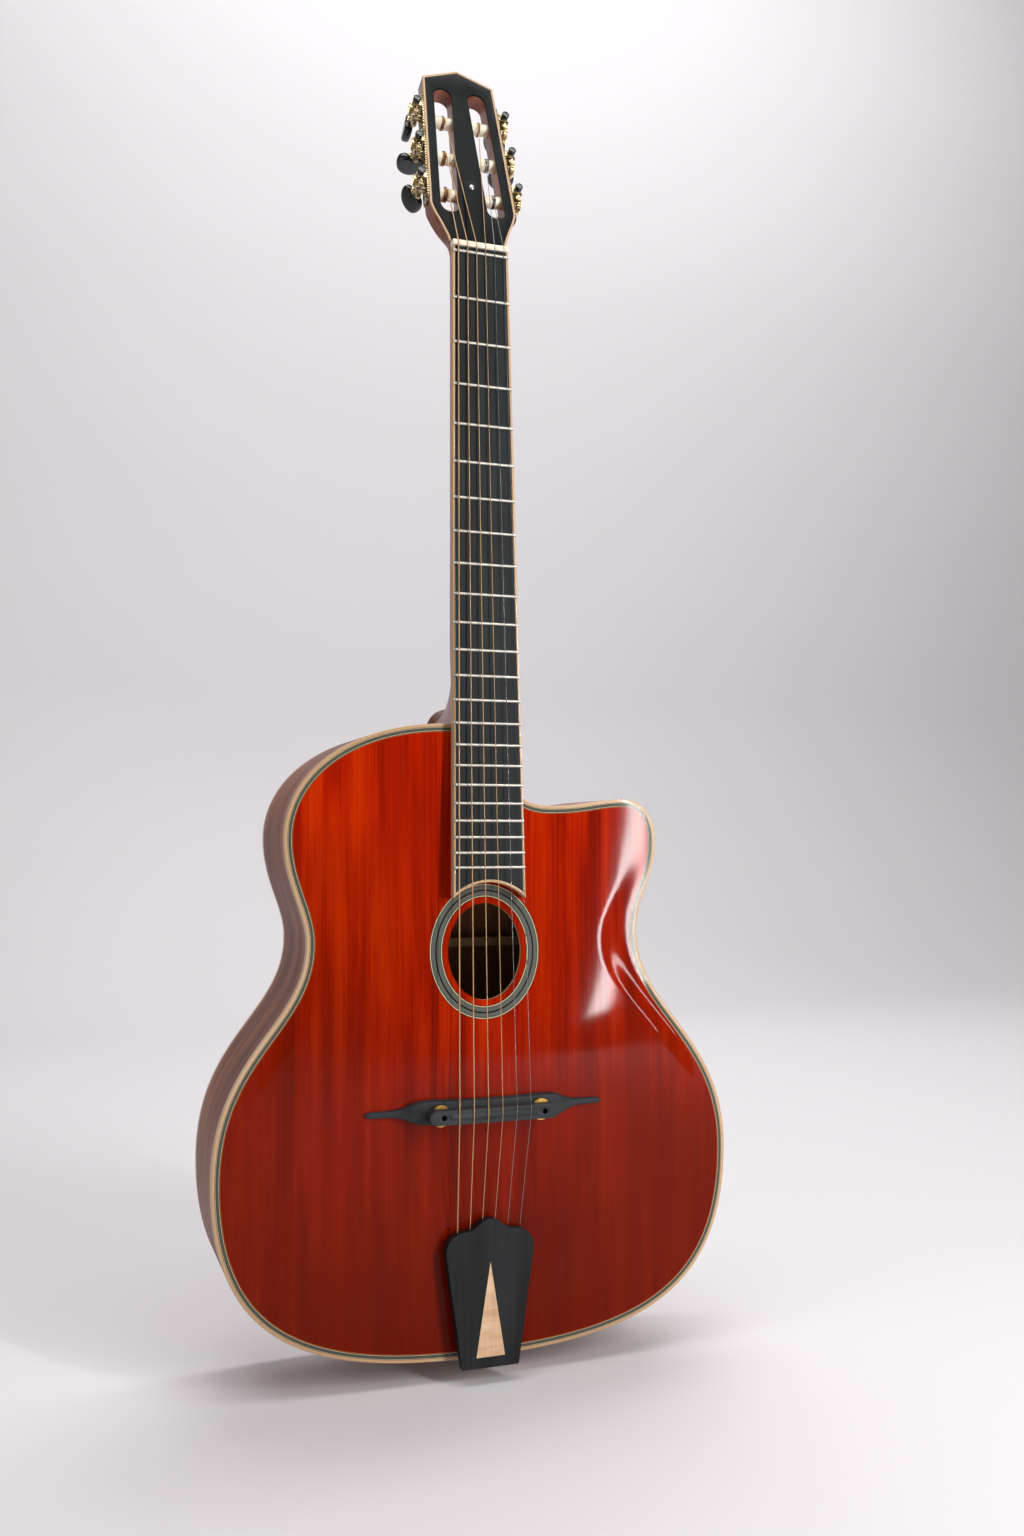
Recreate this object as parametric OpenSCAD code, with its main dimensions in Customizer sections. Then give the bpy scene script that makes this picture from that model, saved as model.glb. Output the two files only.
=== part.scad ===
// Steel-string guitar with a cutaway body, oval soundhole, floating bridge and tailpiece.
// It stands upright: +Z runs up the neck, the front faces -Y, and +X is the treble side.
// The origin is the seat of the end pin, at the tail, halfway through the body's depth.

/* [Body] */
// Length of the soundbox from tail to shoulder
body_len = 484; // [478:1:490]
// Depth of the soundbox, front to back
body_depth = 97; // [92:1:102]
// Half width of the lower bout
lower_half = 207; // [203:1:211]
// Half width of the waist on the bass side
waist_half = 138; // [135:1:141]
// Half width of the upper bout on the bass side
upper_half = 155; // [151:1:158]
// Thickness of the bent sides
side_t = 2.5; // [2:0.1:3]
// Thickness of the soundboard and of the back
plate_t = 2.6; // [2.4:0.1:3]
// Height of the arch under the bridge
arch_h = 4.5; // [3:0.5:6]
// Depth of the binding strips on the body's edges
binding_h = 6; // [5:0.5:7]

/* [Soundhole] */
// Width of the oval soundhole
hole_w = 59; // [55:1:61]
// Length of the oval soundhole
hole_len = 74; // [70:1:76]
// Width of the plain ring between the hole and the rosette
rosette_gap = 4.6; // [4:0.2:5]
// Width of the rosette
rosette_w = 10.4; // [8:0.2:11]

/* [Neck] */
// String length from the zero fret to the bridge
scale_len = 670; // [665:1:675]
// Lean of the neck behind the plane of the soundboard, in degrees
neck_lean = 2.2; // [1.8:0.1:2.5]
// Height of the fretboard's face over the soundboard's edge at the body
board_rise = 9; // [8.5:0.5:11]
// Thickness of the fretboard
board_t = 6; // [5:0.5:6]
// Half width of the fretboard at the zero fret
board_half = 23; // [22:0.5:24]
// Thickness of the neck with its fretboard
neck_t = 22; // [20:0.5:24]

/* [Headstock] */
// Lean of the headstock behind the neck, in degrees
head_lean = 16; // [14:0.5:17]
// Length of the headstock from the zero fret to its peak
head_len = 190; // [186:1:195]
// Thickness of the headstock
head_t = 15; // [14:0.5:16]
// Half width of the headstock at its shoulders
head_half = 36; // [35:0.5:37]
// Width of the two slots
slot_w = 15.4; // [14:0.2:16]

/* [Tuners] */
// Distance between neighbouring rollers
tuner_step = 37.5; // [36:0.5:38]
// Teeth of each gear
gear_teeth = 14; // [14:1:14]
// Radius of the string rollers
roller_r = 4.9; // [4.5:0.1:5]

/* [Bridge and tailpiece] */
// Half length of the bridge over its blunt wings
wing_half = 95; // [92:1:96]
// Distance of each thumbwheel from the centre line
wheel_x = 40; // [38:1:42]
// Radius of the thumbwheels
wheel_r = 8.3; // [8:0.1:8.6]
// Length of the tailpiece
tail_len = 111; // [108:1:113]

/* [Hidden] */
$fn = 48;

// Levels of the body along Y
y_front = -body_depth / 2;
y_back = body_depth / 2;
// Running clearance and the clearance of a glued peg
run_gap = 0.05;
glue_gap = 0.02;

// ---------- shared geometry ----------

// Extrudes a front view drawn in X and Z between two levels of Y.
module slab(y0, y1) {
    translate([0, y1, 0])
        rotate([90, 0, 0])
            linear_extrude(y1 - y0)
                children();
}

// Places children in the neck's frame: Y = 0 is the fretboard's face, Z = 0 the body joint.
module at_neck() {
    translate([0, y_front - board_rise, body_len])
        rotate([-neck_lean, 0, 0])
            children();
}

// Places children in the headstock's frame: Y = 0 is its face, Z = 0 the zero fret.
head_drop = 3;
module at_head() {
    at_neck()
        translate([0, head_drop, neck_len])
            rotate([-head_lean, 0, 0])
                children();
}

// A closed skin over equal rings of points, each ring having around points.
module ringed_skin(pts, around) {
    rows = len(pts) / around - 1;
    polyhedron(pts, [
        for (j = [0:rows - 1], i = [0:around - 1])
            let (a = j * around + i, b = j * around + (i + 1) % around) each
            [[a, b + around, b], [a, a + around, b + around]],
        [for (i = [0:around - 1]) i],
        [for (i = [around - 1:-1:0]) rows * around + i]]);
}

// One point of a cubic curve with end points a, d and handles b, c.
function cubic(a, b, c, d, t) =
    pow(1 - t, 3) * a + 3 * t * pow(1 - t, 2) * b + 3 * t * t * (1 - t) * c + pow(t, 3) * d;

// The points of a curve, without its last one.
function run(k, steps) = [for (i = [0:steps - 1]) cubic(k[0], k[1], k[2], k[3], i / steps)];

// Moves a closed outline inwards by d, keeping its corners mitred.
function unit(v) = v / norm(v);
function inset(pts, d) = [for (i = [0:len(pts) - 1])
    let (n = len(pts),
         a = unit(pts[i] - pts[(i + n - 1) % n]),
         b = unit(pts[(i + 1) % n] - pts[i]),
         na = [a[1], -a[0]],
         nb = [b[1], -b[0]])
    pts[i] + d * (na + nb) / (1 + na * nb)];

function ellipse_points(rx, rz, cz, steps) =
    [for (i = [0:steps - 1]) [rx * cos(360 * i / steps), cz + rz * sin(360 * i / steps)]];

// ---------- the body's outline, clockwise from the tail as seen from the front ----------

lower_z = 146;
waist_z = 318;
upper_z = 396;
horn_z = 427;
horn_x = 118;
cut_z = 430;
// The cutaway meets the neck just outside the fretboard's edge.
cut_x = board_edge(fret_z(14)) + 0.6;
treble_waist = waist_half - 9;
treble_upper = upper_half - 9;
bass_curves = [
    [[0, 0], [-130, 0], [-lower_half, 28], [-lower_half, lower_z]],
    [[-lower_half, lower_z], [-lower_half, 242], [-waist_half, 256], [-waist_half, waist_z]],
    [[-waist_half, waist_z], [-waist_half, 342], [-upper_half, 362], [-upper_half, upper_z]],
    [[-upper_half, upper_z], [-upper_half, 444], [-106, body_len], [-cut_x, body_len]]];
treble_curves = [
    [[cut_x, cut_z], [40, 420.5], [52, 421], [70, 422]],
    [[70, 422], [88, 423], [100, horn_z], [horn_x, horn_z]],
    [[horn_x, horn_z], [134, horn_z], [treble_upper, 416], [treble_upper, 394]],
    [[treble_upper, 394], [treble_upper, 362], [treble_waist, 350], [treble_waist, 321]],
    [[treble_waist, 321], [treble_waist, 260], [lower_half, 236], [lower_half, lower_z]],
    [[lower_half, lower_z], [lower_half, 28], [130, 0], [0, 0]]];
outline = [
    for (k = bass_curves) each run(k, 12),
    [-cut_x, body_len],
    [cut_x, body_len],
    for (k = treble_curves) each run(k, 10)];

// A band of the outline, from one inset to a deeper one.
module band(outer, inner, y0, y1) {
    difference() {
        slab(y0, y1)
            polygon(inset(outline, outer));
        slab(y0 - 1, y1 + 1)
            polygon(inset(outline, inner));
    }
}

// The arch: a shallow dome standing on a skirt, centred under the bridge.
arch_z = 185;
arch_r = 160;
skirt = 0.5;
module dome() {
    steps = 8;
    rotate_extrude($fn = 96)
        polygon([[0, -skirt], [arch_r, -skirt],
            for (i = [0:steps]) let (r = arch_r * (1 - i / steps))
                [r, arch_h * (1 - pow(r / arch_r, 2))]]);
}

// A plate whose outer face lies skin below the finished surface; facing is -1 front, 1 back.
module plate(facing, skin) {
    y_out = facing * (body_depth / 2 - skin);
    y_in = facing * (body_depth / 2 - plate_t);
    difference() {
        union() {
            slab(min(y_out, y_in), max(y_out, y_in))
                polygon(inset(outline, side_t));
            translate([0, y_out, arch_z])
                rotate([-90 * facing, 0, 0])
                    dome();
        }
        translate([0, y_in, arch_z])
            rotate([-90 * facing, 0, 0])
                dome();
    }
}

// The space inside the plates, down to a depth from one of them, clear of the linings.
lining_w = 6;
lining_h = 15;
module inner_space(facing, depth) {
    y_in = facing * (body_depth / 2 - plate_t);
    y_deep = y_in - facing * depth;
    slab(min(y_in, y_deep), max(y_in, y_deep))
        polygon(inset(outline, side_t + lining_w + 0.2));
    translate([0, y_in, arch_z])
        rotate([-90 * facing, 0, 0])
            dome();
}

// ---------- soundbox ----------

hole_z = 309;
ring_rx = hole_w / 2 + rosette_gap;
ring_rz = hole_len / 2 + rosette_gap;
purfling_w = 4;
inlay_t = 1;
pin_r = 4;

module ring() {
    difference() {
        polygon(ellipse_points(ring_rx + rosette_w, ring_rz + rosette_w, hole_z, 64));
        polygon(ellipse_points(ring_rx, ring_rz, hole_z, 64));
    }
}

// The layer of the soundboard that holds the rosette.
module rosette_layer() {
    intersection() {
        slab(y_front - 2 * arch_h, y_front + inlay_t)
            ring();
        difference() {
            plate(-1, 0);
            plate(-1, inlay_t);
        }
    }
}

module soundboard() {
    color("orangered")
        difference() {
            plate(-1, 0);
            slab(y_front - 2 * arch_h, y_front + 2 * plate_t)
                polygon(ellipse_points(hole_w / 2, hole_len / 2, hole_z, 64));
            rosette_layer();
            band(side_t, side_t + purfling_w, y_front - 1, y_front + inlay_t);
        }
}

module rosette() {
    color("dimgray")
        rosette_layer();
}

module top_purfling() {
    color("darkseagreen")
        band(side_t, side_t + purfling_w, y_front, y_front + inlay_t);
}

module back_plate() {
    color("rosybrown")
        plate(1, 0);
}

// One bent side: the band's half on the side of dir, with the end pin's hole.
module side(dir) {
    color("tan")
        difference() {
            intersection() {
                band(0, side_t, y_front + binding_h, y_back - binding_h);
                translate([dir > 0 ? 0 : -2 * lower_half, y_front, -1])
                    cube([2 * lower_half, body_depth, body_len + 2]);
            }
            translate([0, 0, -1])
                cylinder(h = 2 * side_t, r = pin_r + glue_gap);
        }
}

module body_binding() {
    color("wheat")
        for (y = [y_front, y_back - binding_h])
            band(0, side_t, y, y + binding_h);
}

// The regions of the two end blocks, in front view.
neck_block_z = body_len - 45;
tail_block_z = 24;
tail_block_half = 45;
module neck_block_zone() {
    translate([-48, neck_block_z])
        square([48 + cut_x, 100]);
}

module tail_block_zone() {
    translate([-tail_block_half, -1])
        square([2 * tail_block_half, tail_block_z + 1]);
}

module block(y0, y1) {
    intersection() {
        slab(y0, y1)
            polygon(inset(outline, side_t));
        slab(y0, y1)
            children();
    }
}

module neck_block() {
    color("burlywood")
        block(y_front + plate_t, y_back - plate_t)
            neck_block_zone();
}

module tail_block() {
    color("burlywood")
        difference() {
            block(y_front + plate_t, y_back - plate_t)
                tail_block_zone();
            cylinder(h = 20, r = pin_r + glue_gap);
        }
}

module linings() {
    color("navajowhite")
        for (y = [y_front + plate_t, y_back - plate_t - lining_h])
            difference() {
                band(side_t, side_t + lining_w, y, y + lining_h);
                slab(y - 1, y + lining_h + 1)
                    neck_block_zone();
                slab(y - 1, y + lining_h + 1)
                    tail_block_zone();
            }
}

// Ladder braces: bars across the plate at the given heights.
brace_w = 7;
brace_h = 13;
module braces(facing, heights) {
    color("bisque")
        intersection() {
            inner_space(facing, brace_h);
            for (z = heights)
                translate([-lower_half, -body_depth, z - brace_w / 2])
                    cube([2 * lower_half, 2 * body_depth, brace_w]);
        }
}

// ---------- neck ----------

function fret_z(k) = scale_len * pow(2, -k / 12);
neck_len = scale_len - fret_z(14);
// Half width of the fretboard, given the distance left to the bridge
function board_edge(left) = board_half + 0.0125 * (scale_len - left);
// Height in the neck's frame of a point that far from the bridge
function neck_z(left) = left - (scale_len - neck_len);
nut_t = 5;
nut_gap = 4;
board_top = neck_len + nut_gap;
nut_end = board_top + nut_t;
board_trim = 2;
frets_n = 22;
// The fretboard's end follows the rosette.
ring_z = (hole_z - body_len) / cos(neck_lean);
end_rx = ring_rx + rosette_w + 1.5;
end_rz = ring_rz + rosette_w + 1.5;
function board_end(x, d) = ring_z + (end_rz + d) * sqrt(1 - pow(x / (end_rx + d), 2));

// The fretboard's front view, with its edges and its end brought in by d.
function board_points(d) =
    let (wide = board_edge(neck_to_bridge(-120)) - d,
         narrow = board_half - 0.05 - d,
         steps = 12)
    [[-narrow, board_top], [narrow, board_top],
        for (i = [0:steps]) let (x = wide * (1 - 2 * i / steps)) [x, board_end(x, d)]];
function neck_to_bridge(z) = z + scale_len - neck_len;

module fretboard() {
    color("darkslategray")
        at_neck()
            slab(0, board_t)
                polygon(board_points(board_trim));
}

module fretboard_binding() {
    color("wheat")
        at_neck()
            difference() {
                slab(0, board_t)
                    polygon(board_points(0));
                slab(-1, board_t + 1)
                    polygon(board_points(board_trim));
            }
}

// The wedge that carries the fretboard over the soundboard.
module fretboard_riser() {
    color("orangered")
        difference() {
            at_neck()
                slab(board_t, 3 * board_t)
                    polygon(board_points(0));
            translate([-lower_half, y_front, 0])
                cube([2 * lower_half, body_depth, body_len]);
            translate([-lower_half, -body_depth, body_len])
                cube([2 * lower_half, 2 * body_depth, scale_len]);
        }
}

// Fret wire with a rounded crown, cut to the width of the bound fretboard.
fret_w = 2.4;
fret_h = 1.1;
module frets() {
    color("silver")
        at_neck()
            for (k = [0:frets_n]) {
                half = board_edge(fret_z(k)) - 0.3;
                translate([-half, 0, neck_z(fret_z(k))])
                    rotate([90, 0, 90])
                        linear_extrude(2 * half)
                            polygon([[0, -fret_w / 2], [0, fret_w / 2], [-0.6, fret_w / 2 - 0.2],
                                [-fret_h, 0.4], [-fret_h, -0.4], [-0.6, 0.2 - fret_w / 2]]);
            }
}

string_gap = 7.5;
saddle_gap = 11.4;
tail_gap = 10;
function string_place(i) = i - 3.5;
wound_r = 0.55;
plain_r = 0.25;
nut_h = 1.2;
module nut() {
    color("ivory")
        at_neck()
            difference() {
                translate([-board_half, -nut_h - 0.6, board_top])
                    cube([2 * board_half, board_t + nut_h + 0.6, nut_t]);
                for (i = [1:6])
                    translate([string_place(i) * string_gap - 0.7, -nut_h - 1.6, board_top - 1])
                        cube([1.4, 1.6 + glue_gap, nut_t + 2]);
            }
}

// Half an ellipse with its flat edge on X: the section of the neck and of the heel.
module half_oval(half, depth) {
    polygon([for (i = [0:20]) [half * cos(9 * i), depth * sin(9 * i)]]);
}

module heel_slice(y, half, depth) {
    slab(y, y + 0.2)
        translate([0, -6])
            half_oval(half, depth + 6);
}

// Sections of the heel: level, half width and depth along the neck
heel = [[12, 27, 66], [23, 25, 44], [38, 20, 28], [66, 15, 20], [106, 12, 17]];
heel_cap_t = 3;
rod_w = 6;
rod_h = 9;
module neck_wood() {
    at_neck() {
        intersection() {
            translate([0, board_t, -5])
                linear_extrude(nut_end + 16)
                    half_oval(board_edge(neck_to_bridge(0)) + 0.5, neck_t - board_t);
            slab(0, 2 * neck_t)
                polygon([for (z = [-5, nut_end + 11]) let (h = board_edge(neck_to_bridge(z))) [-h, z],
                    for (z = [nut_end + 11, -5]) let (h = board_edge(neck_to_bridge(z))) [h, z]]);
        }
        for (i = [0:len(heel) - 2])
            hull()
                for (s = [heel[i], heel[i + 1]])
                    heel_slice(s[0], s[1], s[2]);
    }
    at_head()
        slab(veneer_t, head_t)
            polygon(head_outline);
}

module neck() {
    color("sienna")
        difference() {
            neck_wood();
            // The body's shoulder and the plane of the heel cap
            translate([-lower_half, -body_depth, 0])
                cube([2 * lower_half, 3 * body_depth, body_len]);
            translate([-lower_half, y_back - heel_cap_t, 0])
                cube([2 * lower_half, body_depth, 2 * body_len]);
            at_neck() {
                truss_channel();
                translate([-2 * board_half, 0, neck_len - 60])
                    cube([4 * board_half, board_t, 60 + nut_end - neck_len]);
            }
            at_head() {
                translate([-2 * head_half, veneer_t - 2 * head_t, 0])
                    cube([4 * head_half, 2 * head_t, head_len + 5]);
                slab(-1, head_t + 1)
                    slots();
                for (k = [1:6])
                    at_tuner(k)
                        rotate([0, 90, 0])
                            translate([0, 0, -1])
                                cylinder(h = bore_len + 1, r = roller_r + run_gap);
            }
        }
}

// Room for the truss rod, open under the fretboard.
module truss_channel() {
    translate([-rod_w / 2, board_t - 0.5, 10])
        cube([rod_w, rod_h + 0.5, nut_end - 10]);
}

module truss_rod() {
    color("slategray")
        at_neck()
            translate([-rod_w / 2, board_t, 12])
                cube([rod_w, rod_h, nut_end - 14]);
}

module heel_cap() {
    color("saddlebrown")
        intersection() {
            at_neck()
                heel_foot();
            translate([-lower_half, y_back - heel_cap_t, body_len])
                cube([2 * lower_half, heel_cap_t, body_len]);
        }
}

// The heel's last section, carried on to the plane of the back.
module heel_foot() {
    slab(90, 120)
        translate([0, -6])
            half_oval(12.4, 23.4);
}

// ---------- headstock ----------

veneer_t = 1.5;
head_trim = 1.8;
shoulder_z = 47;
head_top = head_len - 12;
head_tip = 30.5;
head_foot = 10;
head_outline = [
    [-board_half - 0.6, head_foot],
    [-board_half - 1.6, 16],
    [-head_half + 2, 39],
    [-head_half, shoulder_z],
    [-head_tip, head_top],
    [0, head_len],
    [head_tip, head_top],
    [head_half, shoulder_z],
    [head_half - 2, 39],
    [board_half + 1.6, 16],
    [board_half + 0.6, head_foot]];
// Taper of the headstock's sides, which the slots and tuners follow
head_taper = atan((head_half - head_tip) / (head_top - shoulder_z));
slot_x = 18.7;
slot_z0 = 40;
slot_z1 = 168;

module slots() {
    for (dir = [-1, 1])
        translate([dir * slot_x, first_roller])
            rotate(dir * head_taper) {
                translate([-slot_w / 2, slot_z0 - first_roller + slot_w / 2])
                    square([slot_w, slot_z1 - slot_z0 - slot_w]);
                for (z = [slot_z0 + slot_w / 2, slot_z1 - slot_w / 2])
                    translate([0, z - first_roller])
                        circle(r = slot_w / 2);
            }
}

module headstock_face() {
    color("black")
        at_head()
            difference() {
                slab(0, veneer_t)
                    polygon(inset(head_outline, head_trim));
                slab(-1, head_t)
                    slots();
            }
}

module headstock_binding() {
    color("wheat")
        at_head()
            difference() {
                slab(0, veneer_t)
                    polygon(head_outline);
                slab(-1, head_t)
                    polygon(inset(head_outline, head_trim));
            }
}

cover_t = 2;
cover_top = 66;
module truss_rod_cover() {
    color("dimgray")
        at_head()
            difference() {
                slab(-cover_t, 0)
                    polygon([[-9, head_foot + 2], [9, head_foot + 2],
                        for (i = [0:12]) [6.5 * cos(15 * i), cover_top + 6.5 * sin(15 * i)]]);
                translate([0, 1, cover_top])
                    rotate([90, 0, 0])
                        cylinder(h = 2 * cover_t, r = screw_r);
            }
}

// A screw whose head sits at the origin on the plane Y = 0, and whose shank runs to +Y.
screw_r = 1.2;
module screw(shank) {
    rotate([-90, 0, 0]) {
        translate([0, 0, -1.3])
            cylinder(h = 1.3, r = 2.4);
        cylinder(h = shank, r = screw_r - glue_gap);
    }
}

module screws() {
    color("silver") {
        at_head()
            translate([0, -cover_t, cover_top])
                screw(cover_t);
        for (dir = [-1, 1])
            at_side(dir)
                for (z = plate_screws)
                    translate([-plate_out, plate_mid, z])
                        rotate([0, 0, -90])
                            screw(plate_out);
        for (p = bracket_screws)
            translate([p[0], p[1], -bracket_t])
                rotate([90, 0, 0])
                    screw(bracket_t);
    }
}

// ---------- tuners ----------

// Heights of the rollers, and their depth behind the face of the headstock
first_roller = 64;
roller_y = 7.5;
bore_len = 28.5;
// The gear's pitch radius is seven modules; the worm stands one gear distance higher.
tooth_module = 0.9;
gear_r = tooth_module * gear_teeth / 2;
worm_lead = PI * tooth_module;
worm_r = 4;
gear_step = gear_r + worm_r;
gear_t = 3;
// The worm's axis and the gear's middle lie this far outside the headstock's side.
worm_x = 6.5;
plate_out = 1.5;
plate_mid = 7.5;
plate_w = 14;
plate_z0 = -14;
plate_z1 = 2 * tuner_step + 24;
plate_screws = [plate_z0 + 4, tuner_step / 2 + 5, tuner_step * 1.5 + 5, plate_z1 - 4];

side_x = head_half - (first_roller - shoulder_z) * tan(head_taper);

// Puts the side frame on the headstock: X = 0 is the side, +X runs inwards, Z = 0 the first roller.
// On the treble side the frame is mirrored.
module at_side(dir) {
    at_head()
        mirror([dir > 0 ? 1 : 0, 0, 0])
            translate([-side_x, 0, first_roller])
                rotate([0, head_taper, 0])
                    children();
}

// The frame of tuner k inside the headstock's frame; 1 to 3 are bass, 4 to 6 treble.
module at_tuner(k) {
    mirror([k > 3 ? 1 : 0, 0, 0])
        translate([-side_x, roller_y, first_roller])
            rotate([0, head_taper, 0])
                translate([0, 0, ((k - 1) % 3) * tuner_step])
                    children();
}

shaft_r = 1.5;
post_r = 2;
// Play between the side plate and the roller's and the gear's shoulders
side_gap = 0.2;
ear_t = 2;
ear_y = [1.3, 12.7];

// Engraved side plate with a pair of bearing ears for each worm.
module tuner_plate(dir) {
    color("gold")
        at_side(dir)
            difference() {
                union() {
                    translate([-plate_out, plate_mid - plate_w / 2, plate_z0])
                        cube([plate_out, plate_w, plate_z1 - plate_z0]);
                    for (k = [0:2], y = ear_y)
                        translate([-worm_x - 2.8, y - ear_t / 2 + 0.5, k * tuner_step + gear_step - 3])
                            cube([worm_x + 2.8, ear_t, 6]);
                }
                for (k = [0:2]) {
                    translate([-worm_x, -5, k * tuner_step + gear_step])
                        rotate([-90, 0, 0])
                            cylinder(h = 30, r = shaft_r + run_gap);
                    translate([-plate_out - 1, roller_y, k * tuner_step])
                        rotate([0, 90, 0])
                            cylinder(h = plate_out + 2, r = post_r + run_gap);
                }
                for (z = plate_screws)
                    translate([-plate_out - 1, plate_mid, z])
                        rotate([0, 90, 0])
                            cylinder(h = plate_out + 2, r = screw_r);
            }
}

// Radius of the worm's thread at a height and a turn: a trapezium wound round the core.
worm_core = worm_r - 1.05;
worm_tip = worm_r + 0.75;
function thread_r(y, turn) =
    let (u = abs((y / worm_lead - turn / 360) - round(y / worm_lead - turn / 360)) * worm_lead)
    worm_tip - (worm_tip - worm_core) * min(1, max(0, (u - 0.2) / 0.65));

// The thread as a closed skin of rings, centred on the origin, with its axis along Y.
worm_half = 4.2;
module thread() {
    around = 16;
    rows = 24;
    ringed_skin([for (j = [0:rows], i = [0:around - 1])
        let (y = worm_half * (2 * j / rows - 1),
             turn = 360 * i / around,
             r = thread_r(y, turn))
        [r * sin(turn), y, r * cos(turn)]], around);
}

// Worm shaft through both ears, up to the front cap and down to the button.
cap_y = -3.6;
button_y = 20;
// How far each button happens to be turned
button_turn = [-35, 90, 8, 20, 80, 35];
module worm(k) {
    color("goldenrod")
        at_head()
            at_tuner(k)
                translate([-worm_x, 0, gear_step]) {
                    mirror([k > 3 ? 1 : 0, 0, 0])
                        rotate([0, 180, 0])
                            thread();
                    translate([0, cap_y + 1 - roller_y, 0])
                        rotate([-90, 0, 0])
                            cylinder(h = button_y + 12 - cap_y - 1, r = shaft_r);
                }
}

// A kidney-shaped knob on the shaft's back end and a round cap on its front end.
module button(k) {
    color("black")
        at_head()
            at_tuner(k)
                translate([-worm_x, -roller_y, gear_step])
                    difference() {
                        union() {
                            translate([0, cap_y, 0])
                                rotate([-90, 0, 0])
                                    cylinder(h = 3.4, r = 3.1);
                            translate([0, button_y - 2, 0])
                                rotate([-90, 0, 0])
                                    cylinder(h = 4, r = 3);
                            rotate([0, button_turn[k - 1], 0])
                                translate([-3.5, button_y, 0])
                                    rotate([0, 90, 0])
                                        linear_extrude(7)
                                            button_outline();
                        }
                        translate([0, cap_y + 1, 0])
                            rotate([-90, 0, 0])
                                cylinder(h = button_y + 11 - cap_y, r = shaft_r);
                    }
}

// The knob's outline, with the shaft entering at its waist.
module button_outline() {
    polygon([
        for (k = [
            [[0, 2.5], [5, -1.5], [11, 0.5], [11, 7.5]],
            [[11, 7.5], [11, 15], [6, 19], [0, 19]],
            [[0, 19], [-6, 19], [-11, 15], [-11, 7.5]],
            [[-11, 7.5], [-11, 0.5], [-5, -1.5], [0, 2.5]]])
            each run(k, 8)]);
}

// A straight-toothed gear with its spigot, fixed on the roller's outer end.
module gear(k) {
    root = gear_r - 1.1;
    tip = gear_r + 0.7;
    pitch = 360 / gear_teeth;
    color("gold")
        at_head()
            at_tuner(k)
                translate([-worm_x, 0, 0])
                    rotate([0, 90, 0]) {
                        translate([0, 0, -gear_t / 2])
                            linear_extrude(gear_t)
                                polygon([for (i = [0:gear_teeth - 1])
                                    let (at = (i + 0.5) * pitch + 180) each [
                                        root * [cos(at - 0.34 * pitch), sin(at - 0.34 * pitch)],
                                        tip * [cos(at - 0.1 * pitch), sin(at - 0.1 * pitch)],
                                        tip * [cos(at + 0.1 * pitch), sin(at + 0.1 * pitch)],
                                        root * [cos(at + 0.34 * pitch), sin(at + 0.34 * pitch)]]]);
                        translate([0, 0, gear_t / 2])
                            cylinder(h = worm_x - gear_t / 2 - plate_out - side_gap, r = 3);
                        translate([0, 0, -gear_t / 2 - 1.2])
                            cylinder(h = 1.2, r = 3.2);
                        translate([0, 0, worm_x - plate_out - side_gap])
                            cylinder(h = plate_out + 2 * side_gap, r = post_r);
                    }
}

// The string roller: a sleeve through the headstock's side, across the slot and into the web.
module roller(k) {
    color("ivory")
        at_head()
            at_tuner(k)
                difference() {
                    translate([side_gap, 0, 0])
                        rotate([0, 90, 0])
                            cylinder(h = bore_len - 0.3 - side_gap, r = roller_r);
                    translate([side_x - slot_x, -roller_r - 1, 0])
                        rotate([-90, 0, 0])
                            cylinder(h = 2 * roller_r + 2, r = 0.9);
                }
}

// ---------- bridge ----------

saddle_z = 188.5;
base_top = y_front - 13.2;
base_half_z = 9;
wheel_t = 3;
saddle_h = 26.4;
saddle_y = y_front - saddle_h;
saddle_t = 9;
saddle_half = 51;
saddle_w = 11;
post_x = [-wheel_x, wheel_x];

// Edge of the treble wing, from its upper root round the blunt tip to its lower root
wing_edge = [[58, 8], [64, 6.4], [68, 4.2], [73, 3], [80, 2.6], [wing_half - 1.5, 2.4], [wing_half, 1],
    [wing_half, -1], [wing_half - 1.5, -2.4], [80, -2.6], [73, -3], [68, -4.2], [64, -6.4], [58, -8]];

// The ebony base: a flat body between two thin blunt wings, fitted to the arch.
module bridge_base() {
    color("dimgray")
        difference() {
            union() {
                slab(base_top, y_front)
                    polygon([
                        for (k = [
                            [[-48, base_half_z], [-56, base_half_z], [-62, 6], [-66, 0]],
                            [[-66, 0], [-62, -6], [-56, -base_half_z], [-48, -base_half_z]]])
                            each [for (p = run(k, 8)) [p[0], p[1] + saddle_z + 1.5]],
                        for (k = [
                            [[48, -base_half_z], [56, -base_half_z], [62, -6], [66, 0]],
                            [[66, 0], [62, 6], [56, base_half_z], [48, base_half_z]]])
                            each [for (p = run(k, 8)) [p[0], p[1] + saddle_z + 1.5]]]);
                slab(y_front - 8.5, y_front)
                    polygon([
                        for (p = wing_edge) [p[0], saddle_z + 1 + p[1]],
                        for (p = wing_edge) [-p[0], saddle_z + 1 - p[1]]]);
            }
            translate([0, y_front, arch_z])
                rotate([90, 0, 0])
                    dome();
            for (x = post_x)
                translate([x, y_front - 6.5, saddle_z])
                    rotate([90, 0, 0])
                        cylinder(h = 10, r = post_r + glue_gap);
        }
}

module bridge_posts() {
    color("goldenrod")
        for (x = post_x)
            translate([x, y_front - 6.5, saddle_z])
                rotate([90, 0, 0])
                    cylinder(h = saddle_h - 6.5 - 4, r = post_r);
}

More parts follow.
